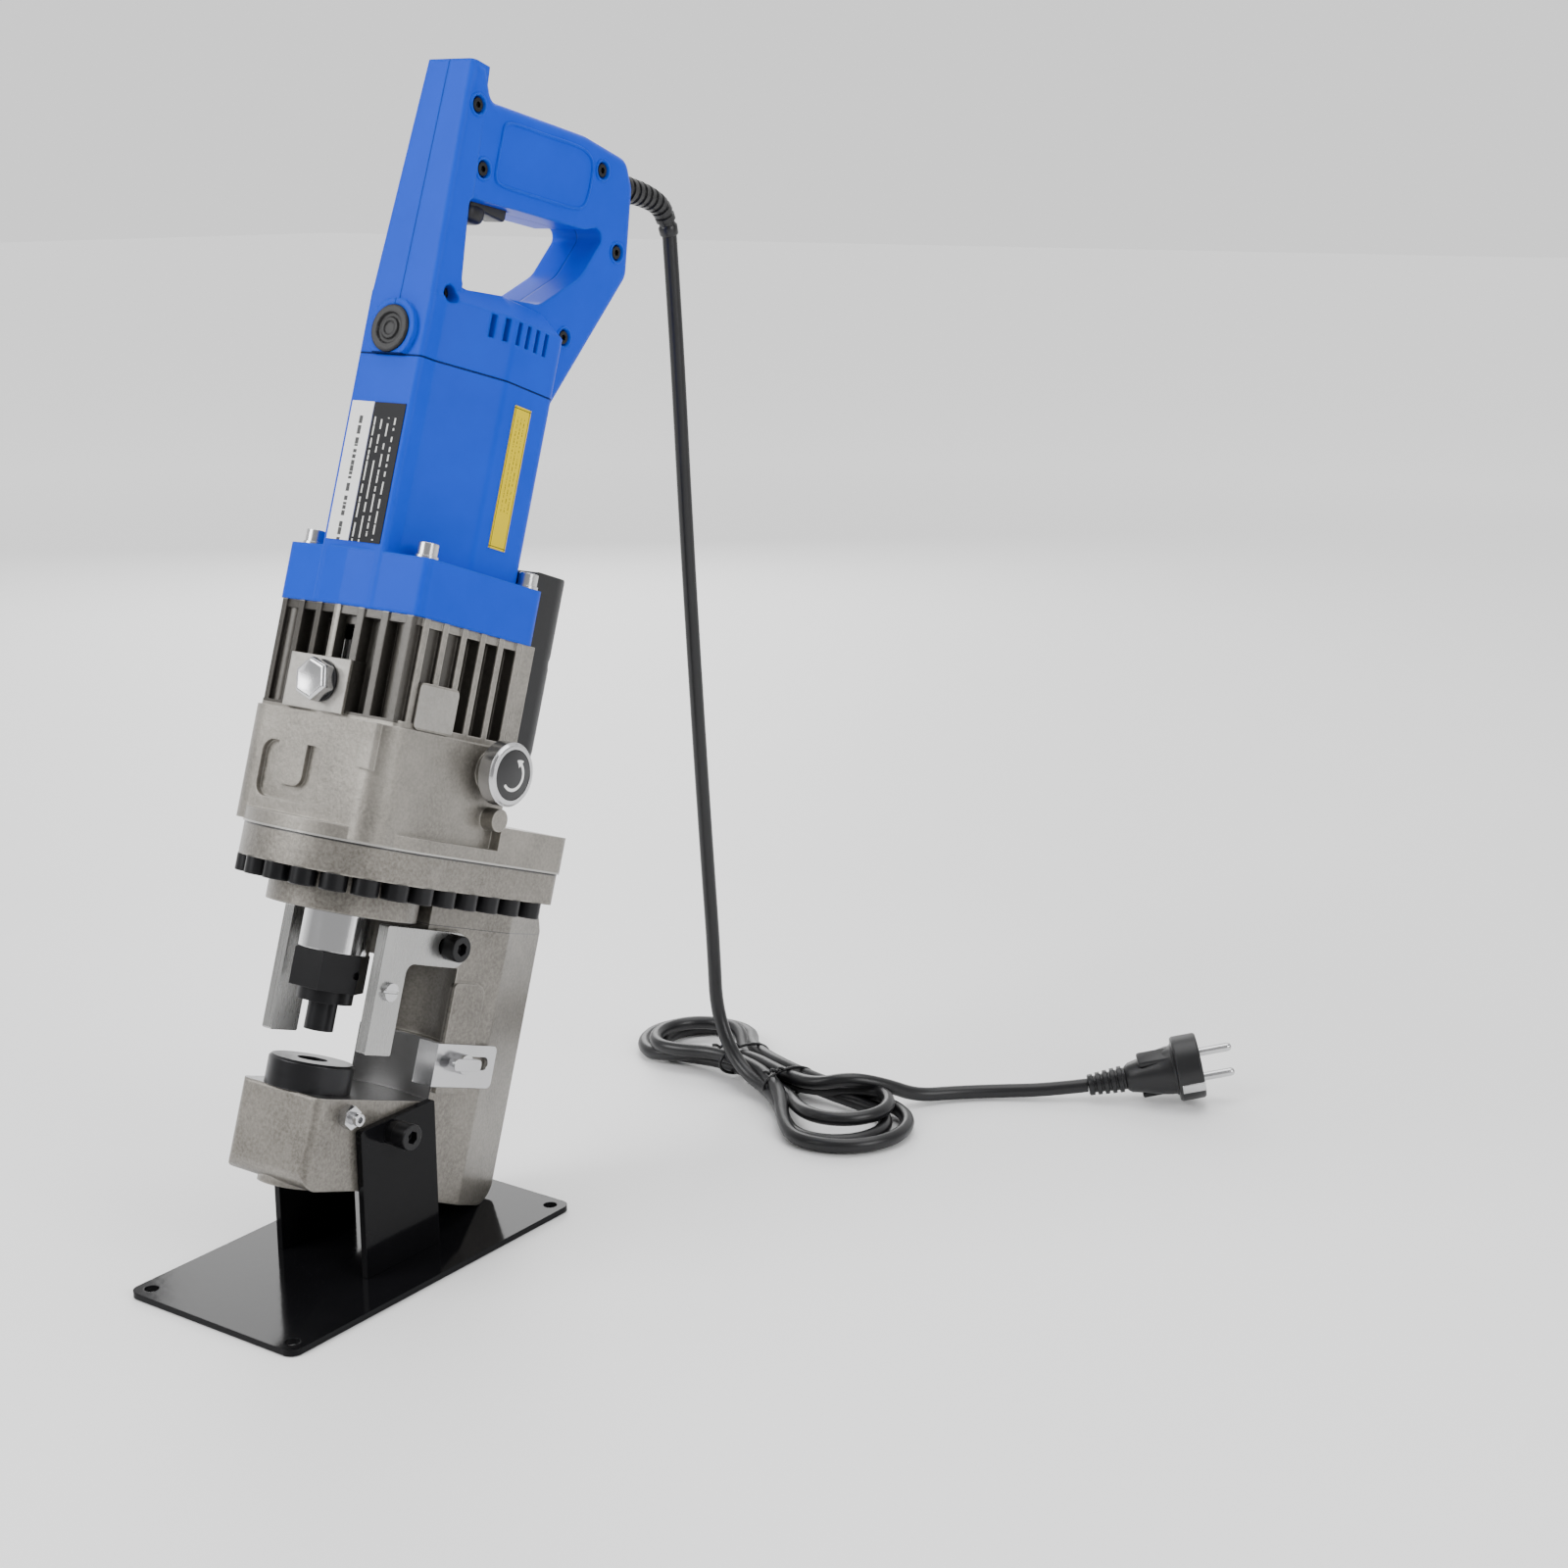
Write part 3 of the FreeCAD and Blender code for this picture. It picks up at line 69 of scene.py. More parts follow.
def makeLights():
    lamps = [
        {"name": "keyPanel", "place": (-0.9, -1.5, 1.5), "size": 1.3, "power": 46.0,
         "aim": (0, 0.05, 0.28)},
        {"name": "sidePanel", "place": (1.9, -0.1, 1.1), "size": 1.0, "power": 22.0,
         "aim": (0, 0.05, 0.25)},
        {"name": "topPanel", "place": (0.1, 0.5, 2.1), "size": 1.6, "power": 26.0, "aim": (0, 0.1, 0.1)},
        {"name": "backPanel", "place": (-1.3, 1.6, 0.9), "size": 1.0, "power": 14.0, "aim": (0, 0.1, 0.3)},
    ]
    for lamp in lamps:
        data = bpy.data.lights.new(lamp["name"], "AREA")
        data.shape = "SQUARE"
        data.size = lamp["size"]
        data.energy = lamp["power"]
        light = bpy.data.objects.new(lamp["name"], data)
        light.location = lamp["place"]
        away = Vector(lamp["aim"]) - Vector(lamp["place"])
        light.rotation_euler = away.to_track_quat("-Z", "Y").to_euler()
        bpy.context.scene.collection.objects.link(light)
    world = bpy.data.worlds.new("studioAir")
    world.use_nodes = True
    # Dimmer in front of the tool than behind it.
    backdrop = {"towards": (-0.568, 0.823, 0.0), "near": 0.42, "far": 1.15, "start": 0.1, "gain": 1.6}
    air = Wire(world.node_tree)
    direction = air.node("ShaderNodeTexCoord", {}, {}, "Generated")
    facing = air.node("ShaderNodeVectorMath", {"operation": "DOT_PRODUCT"},
                      {0: direction, 1: backdrop["towards"]}, "Value")
    share = ((facing + backdrop["start"]) * backdrop["gain"]).clamped()
    strength = share * (backdrop["far"] - backdrop["near"]) + backdrop["near"]
    background = world.node_tree.nodes["Background"]
    background.inputs["Color"].default_value = (1.0, 1.0, 1.0, 1)
    world.node_tree.links.new(strength.out, background.inputs["Strength"])
    bpy.context.scene.world = world
    print("lights placed")


# Mains lead: one spline from the handle to the plug.
lead = {
    "diameter": 0.008,
    "exit": (0.0, 0.26305, 0.48469),
    "hankCentre": (0.040, 0.295),
    "hankTurn": -21.15,
    "hang": [(0.0, 0.26305, 0.48469), (0.001, 0.267, 0.430), (0.003, 0.271, 0.330), (0.0055, 0.276, 0.230),
             (0.008, 0.281, 0.140), (0.0095, 0.285, 0.082)],
    "land": [(-0.026, -0.018, 0.040), (-0.006, -0.015, 0.012), (0.028, -0.012, 0.0063)],
    "leave": [(0.048, 0.003, 0.0165), (0.060, 0.016, 0.0210), (0.067, 0.036, 0.0150),
              (0.070, 0.056, 0.0050)],
    "floorRun": [(0.139, 0.339, 0.0042), (0.160, 0.357, 0.0042), (0.183, 0.3705, 0.0055),
                 (0.203, 0.3835, 0.0087)],
    # One lobe of the hank per entry: far end, sideways shift, bend radius and height.
    "outerLobes": [(0.102, -0.004, 0.028, 0.0042), (0.094, 0.005, 0.0255, 0.0122),
                   (0.112, 0.000, 0.0355, 0.0046)],
    "innerLobes": [(0.098, 0.005, 0.027, 0.0042), (0.090, -0.006, 0.0265, 0.0122),
                   (0.108, 0.001, 0.0340, 0.0046)],
    # Where the strands lie under the ties: across and height, out and back of each turn.
    "frontWaist": [(-0.004, 0.0063), (-0.008, 0.0134), (0.000, 0.0134)],
    "backWaist": [(0.012, 0.0063), (0.004, 0.0063), (0.008, 0.0134)],
    "tiePlaces": (-0.024, 0.022),
    "pastTie": 0.006,
    "pastTieInFront": 0.004,
}


def hankPoint(along, across, z):
    turn = math.radians(lead["hankTurn"])
    x = lead["hankCentre"][0] + along * math.cos(turn) - across * math.sin(turn)
    y = lead["hankCentre"][1] + along * math.sin(turn) + across * math.cos(turn)
    return Vector((x, y, z))


def lobePoints(lobe, side):
    # Half a loop at one end of the hank: front to back at the far end, back to front at the near one.
    end, shift, radius, height = lobe
    steps = 6
    halfSweep = math.radians(98)
    grow = radius / math.cos(halfSweep / (steps - 1))
    points = []
    for k in range(steps):
        angle = (2 * k / (steps - 1) - 1) * halfSweep * side
        along = side * (end - radius + grow * math.cos(angle))
        points.append(hankPoint(along, shift + grow * math.sin(angle), height))
    return points


def leadPoints():
    points = [Vector(p) for p in lead["hang"]]
    points += [hankPoint(*p) for p in lead["land"]]
    near = lead["tiePlaces"][0] - lead["pastTie"]
    far = lead["tiePlaces"][1] + lead["pastTie"]
    farInFront = lead["tiePlaces"][1] + lead["pastTieInFront"]
    for turn in range(len(lead["outerLobes"])):
        points += lobePoints(lead["outerLobes"][turn], 1)
        across, z = lead["backWaist"][turn]
        points += [hankPoint(far, across, z), hankPoint(near, across, z)]
        points += lobePoints(lead["innerLobes"][turn], -1)
        across, z = lead["frontWaist"][turn]
        points += [hankPoint(near, across, z), hankPoint(farInFront, across, z)]
    points += [hankPoint(*p) for p in lead["leave"]]
    points += [Vector(p) for p in lead["floorRun"]]
    return points


def splineCurve(name, points, radius):
    data = bpy.data.curves.new(name, "CURVE")
    data.dimensions = "3D"
    data.bevel_depth = radius
    data.bevel_resolution = 4
    data.resolution_u = 6
    data.use_fill_caps = True
    spline = data.splines.new("NURBS")
    spline.points.add(len(points) - 1)
    for place, point in zip(points, spline.points):
        point.co = (*place, 1.0)
        point.radius = 1.0
    spline.order_u = 3
    spline.use_endpoint_u = True
    piece = bpy.data.objects.new(name, data)
    bpy.context.scene.collection.objects.link(piece)
    return piece


def closeLoop(piece):
    spline = piece.data.splines[0]
    spline.use_endpoint_u = False
    spline.use_cyclic_u = True


def splineLength(points):
    # Length of the smooth line, from a copy of the curve with no thickness.
    probe = splineCurve("lengthProbe", points, 0.0)
    probe.data.use_fill_caps = False
    bpy.context.view_layer.update()
    mesh = bpy.data.meshes.new_from_object(probe.evaluated_get(bpy.context.evaluated_depsgraph_get()))
    line = [v.co.copy() for v in mesh.vertices]
    bpy.data.objects.remove(probe)
    return sum((b - a).length for a, b in zip(line, line[1:]))


# Shader maths.
class Wire:
    # One socket of a material; arithmetic on it adds Math nodes.
    def __init__(self, tree, out=None):
        self.tree = tree
        self.out = out

    def node(self, kind, settings, inputs, output=0):
        made = self.tree.nodes.new(kind)
        for name, value in settings.items():
            setattr(made, name, value)
        for name, value in inputs.items():
            if isinstance(value, Wire):
                self.tree.links.new(value.out, made.inputs[name])
            else:
                made.inputs[name].default_value = value
        return Wire(self.tree, made.outputs[output])

    def maths(self, operation, first, second=0.0, clamp=False):
        return self.node("ShaderNodeMath", {"operation": operation, "use_clamp": clamp},
                         {0: first, 1: second})

    def __add__(self, other):
        return self.maths("ADD", self, other)

    def __radd__(self, other):
        return self.maths("ADD", other, self)

    def __sub__(self, other):
        return self.maths("SUBTRACT", self, other)

    def __rsub__(self, other):
        return self.maths("SUBTRACT", other, self)

    def __mul__(self, other):
        return self.maths("MULTIPLY", self, other)

    def __truediv__(self, other):
        return self.maths("DIVIDE", self, other)

    def __gt__(self, other):
        return self.maths("GREATER_THAN", self, other)

    def __lt__(self, other):
        return self.maths("LESS_THAN", self, other)

    def clamped(self):
        return self.maths("ADD", self, 0.0, True)

    def near(self, centre, reach):
        # 1 where the value lies less than reach from centre, 0 elsewhere.
        return self.maths("ABSOLUTE", self - centre) < reach

    def between(self, low, high):
        return (self > low) * (self < high)

    def away(self, other):
        # Distance from the origin of the two values' plane.
        return self.maths("SQRT", self * self + other * other)

    def noise(self, place, scale, detail=3.0, rough=0.55):
        return self.node("ShaderNodeTexNoise", {}, {"Vector": place, "Scale": scale, "Detail": detail,
                                                    "Roughness": rough}, "Fac")

    def mixed(self, share, low, high):
        # Colour mix; low and high are colours or colour sockets.
        return self.node("ShaderNodeMix", {"data_type": "RGBA"}, {0: share, 6: low, 7: high}, 2)

    def inTool(self, place):
        # The same point in the leaning tool's own x, v, w.
        return self.node("ShaderNodeMapping", {"vector_type": "TEXTURE"},
                         {"Vector": place, "Location": toolOrigin, "Rotation": (-lean, 0, 0)})

    def stretched(self, place, scale):
        return self.node("ShaderNodeMapping", {}, {"Vector": place, "Scale": scale})

    def split(self, place):
        return [self.node("ShaderNodeSeparateXYZ", {}, {0: place}, axis) for axis in ("X", "Y", "Z")]

    def rounded(self, radius):
        return self.node("ShaderNodeBevel", {"samples": 4}, {"Radius": radius})

    def edges(self, soft, gain):
        # 0 on flat faces, up to 1 on sharp edges.
        flat = self.node("ShaderNodeNewGeometry", {}, {}, "Normal")
        dot = self.node("ShaderNodeVectorMath", {"operation": "DOT_PRODUCT"}, {0: soft, 1: flat}, "Value")
        return ((1.0 - dot) * gain).clamped()

    def bumped(self, height, depth, strength, normal):
        return self.node("ShaderNodeBump", {}, {"Strength": strength, "Distance": depth, "Height": height,
                                                "Normal": normal})


def newMaterial(name, fixed):
    material = bpy.data.materials.new(name)
    material.use_nodes = True
    shader = material.node_tree.nodes["Principled BSDF"]
    for socket, value in fixed.items():
        shader.inputs[socket].default_value = value
    wire = Wire(material.node_tree)
    return material, wire, shader, wire.node("ShaderNodeTexCoord", {}, {}, "Object")


def connect(material, shader, sockets):
    for socket, wire in sockets.items():
        material.node_tree.links.new(wire.out, shader.inputs[socket])
    return material


def colour(red, green, blue):
    return (red, green, blue, 1.0)


# Finishes.
def castFinish(name, look):
    # Sand-cast metal under clear lacquer, another tone where it has been machined, and painted shade where
    # the look's shade mask falls.
    fixed = {"Metallic": look["metallic"], "Coat Weight": look["coat"], "Coat Roughness": look["coatRough"]}
    material, wire, shader, place = newMaterial(name, fixed)
    x, v, w = wire.split(wire.inTool(place))
    grain = wire.noise(place, look["grain"], 5.0, 0.65)
    pits = wire.noise(place, look["pits"], 3.0, 0.6)
    clouds = wire.noise(place, look["cloud"], 4.0, 0.6)
    marks = wire.noise(wire.stretched(place, look["markStretch"]), look["marks"])
    soft = wire.rounded(look["round"])
    worn = wire.edges(soft, look["wearGain"])
    machined = look["machined"](x, v, w)
    tone = wire.mixed((clouds * 2.4 - 0.7).clamped(), look["dark"], look["light"])
    tone = wire.mixed((grain * 1.5 - 0.55).clamped(), tone, look["speck"])
    tone = wire.mixed((worn * look["wear"]).clamped(), tone, look["edge"])
    tone = wire.mixed(machined, tone, look["bright"])
    # Painted shade: the shade mask pulls the tone towards the painted shade colour.
    tone = wire.mixed(look["shade"](x, v, w) * look["shadeDepth"], tone, look["paintedShadeTone"])
    height = (grain * 0.6 + pits) * (1.0 - machined) + marks * 0.25 * machined
    rough = (look["rough"] + grain * look["roughSpread"] - machined * look["machinedGloss"]).clamped()
    return connect(material, shader, {"Base Color": tone, "Roughness": rough,
                                      "Normal": wire.bumped(height, look["depth"], 0.8, soft)})


# The joint where the two castings meet, in the tool's x, v, w.
flange = {"w": 0.106, "half": 0.0009}


def frameMachined(x, v, w):
    # Throat wall, jaw top, underside of the head and the flange joint are cut faces.
    throat = {"radius": 0.0634, "low": -0.0141, "high": 0.0149, "front": 0.02}
    jaw = {"top": -0.014, "back": 0.062}
    headUnderside = 0.072
    skin = 0.0002
    wall = (x.away(v) < throat["radius"]) * (v > throat["front"]) * w.between(throat["low"], throat["high"])
    seat = w.near(jaw["top"], skin) * (v < jaw["back"])
    head = w.near(headUnderside, skin)
    return (wall + seat + head + w.near(flange["w"], flange["half"])).clamped()


def pumpMachined(x, v, w):
    # Flange joint, the oil plug's pad, the side pad and the end of the knob's boss.
    oilPad = {"front": -0.0419, "low": 0.1627, "high": 0.1879, "share": 0.5}
    sidePad = {"in": 0.0459, "out": 0.0463, "low": 0.163, "high": 0.183, "share": 0.4}
    boss = {"in": 0.0520, "low": 0.139, "high": 0.161, "back": 0.048}
    oil = (v < oilPad["front"]) * w.between(oilPad["low"], oilPad["high"]) * oilPad["share"]
    side = x.between(sidePad["in"], sidePad["out"]) * w.between(sidePad["low"], sidePad["high"])
    end = (x > boss["in"]) * w.between(boss["low"], boss["high"]) * (v < boss["back"])
    return (w.near(flange["w"], flange["half"]) + oil + side * sidePad["share"] + end).clamped()


def pumpPaintedShade(x, v, w):
    # Painted shade between the fins, where shade falls in the gaps.
    fins = {"half": 0.0437, "front": -0.0402, "back": 0.0500, "low": 0.1632, "high": 0.2125}
    return (x.near(0.0, fins["half"]) * v.between(fins["front"], fins["back"])
            * w.between(fins["low"], fins["high"]))


def framePaintedShade(x, v, w):
    # Painted shade in the cast throat behind the strippers, darker than the outside.
    throat = {"half": 0.0262, "front": 0.02, "back": 0.0712, "low": 0.0152, "high": 0.0715}
    return (x.near(0.0, throat["half"]) * v.between(throat["front"], throat["back"])
            * w.between(throat["low"], throat["high"]))


plainLook = {"metallic": 0.0, "specular": 0.35, "cloud": 30.0, "grain": 1400.0, "grainTone": 0.2,
             "depth": 0.00002, "round": 0.0005, "wear": 0.2, "roughSpread": 0.1, "roughCloud": 0.08}


def plainFinish(name, ownLook):
    # Plastic, enamel, rubber or metal with fine unevenness, worn edges and soft corners.
    look = {**plainLook, **ownLook}
    fixed = {"Metallic": look["metallic"], "Specular IOR Level": look["specular"]}
    material, wire, shader, place = newMaterial(name, fixed)
    clouds = wire.noise(place, look["cloud"])
    grainPlace = place
    if "brush" in look:
        grainPlace = wire.stretched(wire.inTool(place), look["brush"])
    grain = wire.noise(grainPlace, look["grain"])
    soft = wire.rounded(look["round"])
    worn = wire.edges(soft, 2.0)
    tone = wire.mixed(clouds, look["dark"], look["light"])
    tone = wire.mixed((grain * look["grainTone"]).clamped(), tone, look["light"])
    tone = wire.mixed((worn * look["wear"]).clamped(), tone, look["edge"])
    if "lines" in look:
        x, w = wire.split(wire.inTool(place))[::2]
        tone = wire.mixed(look["lines"](x, w), tone, look["lineTone"])
    rough = (look["rough"] + (grain - 0.5) * look["roughSpread"]
             + (clouds - 0.5) * look["roughCloud"]).clamped()
    return connect(material, shader, {"Base Color": tone, "Roughness": rough,
                                      "Normal": wire.bumped(grain, look["depth"], 0.6, soft)})


def shellLines(x, w):
    # Dark joint between motor housing and handle, faint parting line down the middle of the handle.
    joint = {"w": 0.332, "half": 0.00045, "ink": 0.9}
    parting = {"half": 0.00030, "ink": 0.45}
    down = x.near(0.0, parting["half"]) * (w > joint["w"])
    return (w.near(joint["w"], joint["half"]) * joint["ink"] + down * parting["ink"]).clamped()


def dashes(wire, across, w, share):
    # Plain dashes along w, another pattern for each value of across.
    return wire.noise(wire.node("ShaderNodeCombineXYZ", {}, {0: across, 2: w}), 330.0, 1.0) > share


def frontLabelFinish():
    # White strip beside a black panel, with plain rows of dashes where printing would be.
    label = {"split": -0.00275, "low": 0.0475, "high": 0.302, "panelLeft": -0.001, "panelRight": 0.0155,
             "pitch": 0.0042, "rowShift": 0.0005, "rowHalf": 0.00045, "stripRow": -0.0095,
             "stripHalf": 0.0011, "vary": 2.7}
    fixed = {"Roughness": 0.42, "Specular IOR Level": 0.15}
    material, wire, shader, place = newMaterial("frontLabelFilm", fixed)
    x, w = wire.split(wire.inTool(place))[::2]
    halfPitch = label["pitch"] / 2
    row = wire.maths("PINGPONG", x + label["rowShift"], halfPitch) < label["rowHalf"]
    rowPlace = wire.maths("SNAP", x + (label["rowShift"] + halfPitch), label["pitch"])
    inside = w.between(label["low"], label["high"])
    panelInk = row * dashes(wire, rowPlace * label["vary"], w, 0.46) * inside
    panelInk = panelInk * x.between(label["panelLeft"], label["panelRight"])
    stripInk = x.near(label["stripRow"], label["stripHalf"]) * dashes(wire, 0.0, w, 0.48) * inside
    panel = wire.mixed(panelInk, colour(0.008, 0.008, 0.010), colour(0.62, 0.62, 0.60))
    paper = wire.mixed(stripInk, colour(0.80, 0.80, 0.79), colour(0.06, 0.06, 0.06))
    return connect(material, shader, {"Base Color": wire.mixed(x < label["split"], panel, paper)})


def sideLabelFinish():
    # Plain yellow film with a dark keyline and faint rows of dashes.
    label = {"v": 0.018, "w": 0.2885, "halfV": 0.0050, "halfW": 0.0332, "line": 0.0004, "pitch": 0.0012,
             "rowHalf": 0.00028, "inkHalf": 0.0036, "inkLow": 0.272, "inkHigh": 0.318}
    fixed = {"Roughness": 0.4, "Specular IOR Level": 0.08}
    material, wire, shader, place = newMaterial("sideLabelFilm", fixed)
    v, w = wire.split(wire.inTool(place))[1:]
    fromV = wire.maths("ABSOLUTE", v - label["v"])
    fromW = wire.maths("ABSOLUTE", w - label["w"])
    border = (fromV.between(label["halfV"], label["halfV"] + label["line"])
              + fromW.between(label["halfW"], label["halfW"] + label["line"]))
    row = wire.maths("PINGPONG", v - label["v"], label["pitch"]) < label["rowHalf"]
    broken = wire.noise(wire.stretched(wire.inTool(place), (0.0, 0.5, 1.0)), 900.0, 1.0) > 0.5
    ink = row * broken * (fromV < label["inkHalf"]) * w.between(label["inkLow"], label["inkHigh"])
    tone = wire.mixed((border + ink * 0.8).clamped(), colour(0.66, 0.50, 0.0), colour(0.03, 0.03, 0.02))
    return connect(material, shader, {"Base Color": tone})


def dialFinish():
    # Black dial with a plain white turning arrow, drawn round the knob's axis.
    dial = {"v": 0.032, "w": 0.150, "radius": 0.0072, "half": 0.00075, "start": -2.3, "neck": 0.9,
            "tip": 1.45, "headSlope": 0.00418}
    material, wire, shader, place = newMaterial("knobDialFilm", {"Roughness": 0.35})
    v, w = wire.split(wire.inTool(place))[1:]
    v = v - dial["v"]
    w = w - dial["w"]
    angle = wire.maths("ARCTAN2", w, v)
    offset = wire.maths("ABSOLUTE", v.away(w) - dial["radius"])
    arc = (offset < dial["half"]) * angle.between(dial["start"], dial["neck"])
    head = (offset < (dial["tip"] - angle) * dial["headSlope"]) * angle.between(dial["neck"], dial["tip"])
    tone = wire.mixed((arc + head).clamped(), colour(0.012, 0.012, 0.013), colour(0.78, 0.78, 0.77))
    return connect(material, shader, {"Base Color": tone})


def windingFinish():
    # Stacked laminations on motor iron, copper wherever the winding shows.
    stack = {"half": 0.00035, "gap": 0.00008, "low": 0.2465, "high": 0.3035, "windingTop": 0.33}
    material, wire, shader, place = newMaterial("motorIron", {"Metallic": 0.9, "Roughness": 0.42})
    w = wire.split(wire.inTool(place))[2]
    gaps = wire.maths("PINGPONG", w, stack["half"]) < stack["gap"]
    wound = ((w < stack["low"]) + w.between(stack["high"], stack["windingTop"])).clamped()
    iron = wire.mixed(gaps, colour(0.33, 0.32, 0.31), colour(0.10, 0.10, 0.10))
    return connect(material, shader, {"Base Color": wire.mixed(wound, iron, colour(0.66, 0.30, 0.13))})


def makeFinishes():
    # shadeDepth and the darkest colour below set the painted shade in the throat and between the fins.
    grey = {"metallic": 0.75, "coat": 0.40, "coatRough": 0.22, "grain": 620.0, "pits": 204.6,
            "cloud": 22.0, "marks": 260.0, "markStretch": (1.0, 1.0, 14.0), "depth": 0.00026,
            "round": 0.0016, "wear": 0.55, "wearGain": 4.0, "rough": 0.36, "roughSpread": 0.18,
            "machinedGloss": 0.14, "shadeDepth": 0.6,
            "dark": colour(0.100, 0.091, 0.078), "light": colour(0.205, 0.191, 0.168),
            "speck": colour(0.36, 0.34, 0.305), "edge": colour(0.60, 0.57, 0.52),
            "bright": colour(0.42, 0.41, 0.39), "paintedShadeTone": colour(0.030, 0.027, 0.023)}
    finishes = {
        "cast_steel": castFinish("castFrame", {**grey, "machined": frameMachined, "shade": framePaintedShade,
                                               "bright": colour(0.075, 0.074, 0.074)}),
        "cast_aluminium": castFinish("castPump", {**grey, "machined": pumpMachined, "round": 0.0012,
                                                  "shade": pumpPaintedShade, "shadeDepth": 0.85,
                                                  "dark": colour(0.125, 0.116, 0.101),
                                                  "light": colour(0.265, 0.249, 0.222)}),
        "black_enamel": plainFinish("standEnamel", {
            "dark": colour(0.0035, 0.0035, 0.004), "light": colour(0.006, 0.006, 0.007),
            "edge": colour(0.05, 0.05, 0.055), "rough": 0.10, "roughSpread": 0.02, "roughCloud": 0.05,
            "grain": 260.0, "depth": 0.00003, "specular": 0.10, "round": 0.0007,
            "grainTone": 0.1, "wear": 0.25}),
        "black_oxide": plainFinish("blackOxide", {
            "dark": colour(0.005, 0.005, 0.006), "light": colour(0.012, 0.012, 0.013),
            "edge": colour(0.14, 0.14, 0.145), "rough": 0.32, "metallic": 0.4, "wear": 0.5,
            "round": 0.0004, "grain": 2600.0}),
        "bright_steel": plainFinish("groundSteel", {
            "dark": colour(0.30, 0.30, 0.295), "light": colour(0.44, 0.44, 0.43),
            "edge": colour(0.80, 0.80, 0.79), "rough": 0.28, "metallic": 0.95, "brush": (1.0, 1.0, 0.05),
            "grain": 900.0, "roughSpread": 0.12, "wear": 0.5, "round": 0.0004, "depth": 0.00001}),
        "hard_chrome": plainFinish("hardChrome", {
            "dark": colour(0.74, 0.74, 0.75), "light": colour(0.82, 0.82, 0.83),
            "edge": colour(0.9, 0.9, 0.9), "rough": 0.10, "metallic": 1.0, "brush": (0.06, 0.06, 1.0),
            "grain": 900.0, "depth": 0.00001, "roughSpread": 0.05, "roughCloud": 0.03}),
        "tool_steel": plainFinish("toolSteel", {
            "dark": colour(0.012, 0.012, 0.013), "light": colour(0.028, 0.028, 0.030),
            "edge": colour(0.26, 0.26, 0.27), "rough": 0.30, "metallic": 0.7, "wear": 0.7,
            "brush": (0.08, 0.08, 1.0), "grain": 900.0, "round": 0.0005}),
        "zinc_steel": plainFinish("zincSteel", {
            "dark": colour(0.46, 0.46, 0.47), "light": colour(0.62, 0.62, 0.63),
            "edge": colour(0.9, 0.9, 0.9), "rough": 0.22, "metallic": 0.95, "wear": 0.3, "grain": 900.0,
            "roughSpread": 0.12, "round": 0.0004}),
        "blue_shell": plainFinish("blueShell", {
            "dark": colour(0.0008, 0.042, 0.47), "light": colour(0.0012, 0.058, 0.60),
            "edge": colour(0.02, 0.18, 0.90), "rough": 0.40, "specular": 0.10,
            "grain": 900.0, "depth": 0.00004, "round": 0.0022, "wear": 0.35, "grainTone": 0.06,
            "roughSpread": 0.08, "lines": shellLines, "lineTone": colour(0.0, 0.004, 0.03)}),
        "black_plastic": plainFinish("blackPlastic", {
            "dark": colour(0.006, 0.006, 0.007), "light": colour(0.013, 0.013, 0.014),
            "edge": colour(0.05, 0.05, 0.055), "rough": 0.40, "specular": 0.3, "grain": 1100.0,
            "depth": 0.00006, "round": 0.0012, "wear": 0.3}),
        "black_rubber": plainFinish("blackRubber", {
            "dark": colour(0.005, 0.005, 0.006), "light": colour(0.010, 0.010, 0.011),
            "edge": colour(0.03, 0.03, 0.03), "rough": 0.36, "specular": 0.4, "grain": 1800.0,
            "depth": 0.00003, "round": 0.0004}),
        "copper": plainFinish("bareCopper", {
            "dark": colour(0.62, 0.30, 0.14), "light": colour(0.76, 0.42, 0.23),
            "edge": colour(0.85, 0.55, 0.36), "rough": 0.3, "metallic": 0.95}),
        "label_film": frontLabelFinish(),
        "yellow_film": sideLabelFinish(),
        "laminated_steel": windingFinish(),
        "dial": dialFinish(),
    }
    print("finishes made", len(finishes))
    return finishes


# Modelling helpers.
def lathe(name, stations, sides):
    # Round piece along +Z: a filled circle, extruded and resized from station to station.
    bpy.ops.object.select_all(action="DESELECT")
    start, radius = stations[0]
    bpy.ops.mesh.primitive_circle_add(vertices=sides, radius=radius, fill_type="NGON")
    piece = bpy.context.object
    piece.name = name
    bpy.ops.object.mode_set(mode="EDIT")
    bpy.ops.mesh.select_all(action="SELECT")
    bpy.ops.transform.translate(value=(0, 0, start))
    for (low, lowRadius), (high, highRadius) in zip(stations, stations[1:]):
        bpy.ops.mesh.extrude_region_move(TRANSFORM_OT_translate={"value": (0, 0, high - low)})
        share = highRadius / lowRadius
        bpy.ops.transform.resize(value=(share, share, 1), center_override=(0, 0, 0))
    bpy.ops.mesh.select_all(action="SELECT")
    bpy.ops.mesh.normals_make_consistent(inside=False)
    bpy.ops.object.mode_set(mode="OBJECT")
    return piece


def roundedBlock(name, low, high, bevel):
    # Box between two corners with bevelled edges.
    bpy.ops.object.select_all(action="DESELECT")
    bpy.ops.mesh.primitive_cube_add(size=1)
    piece = bpy.context.object
    piece.name = name
    size = [b - a for a, b in zip(low, high)]
    middle = [(a + b) / 2 for a, b in zip(low, high)]
    piece.data.transform(Matrix.Translation(middle) @ Matrix.Diagonal((*size, 1)))
    bpy.ops.object.mode_set(mode="EDIT")
    bpy.ops.mesh.select_all(action="SELECT")
    bpy.ops.mesh.bevel(offset=bevel, segments=3, affect="EDGES")
    bpy.ops.object.mode_set(mode="OBJECT")
    return piece


def dress(piece, body, finish, replaced=()):
    piece.data.materials.clear()
    piece.data.materials.append(finishes[finish])
    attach(piece, body)
    if replaced:
        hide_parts(*replaced)
    return piece


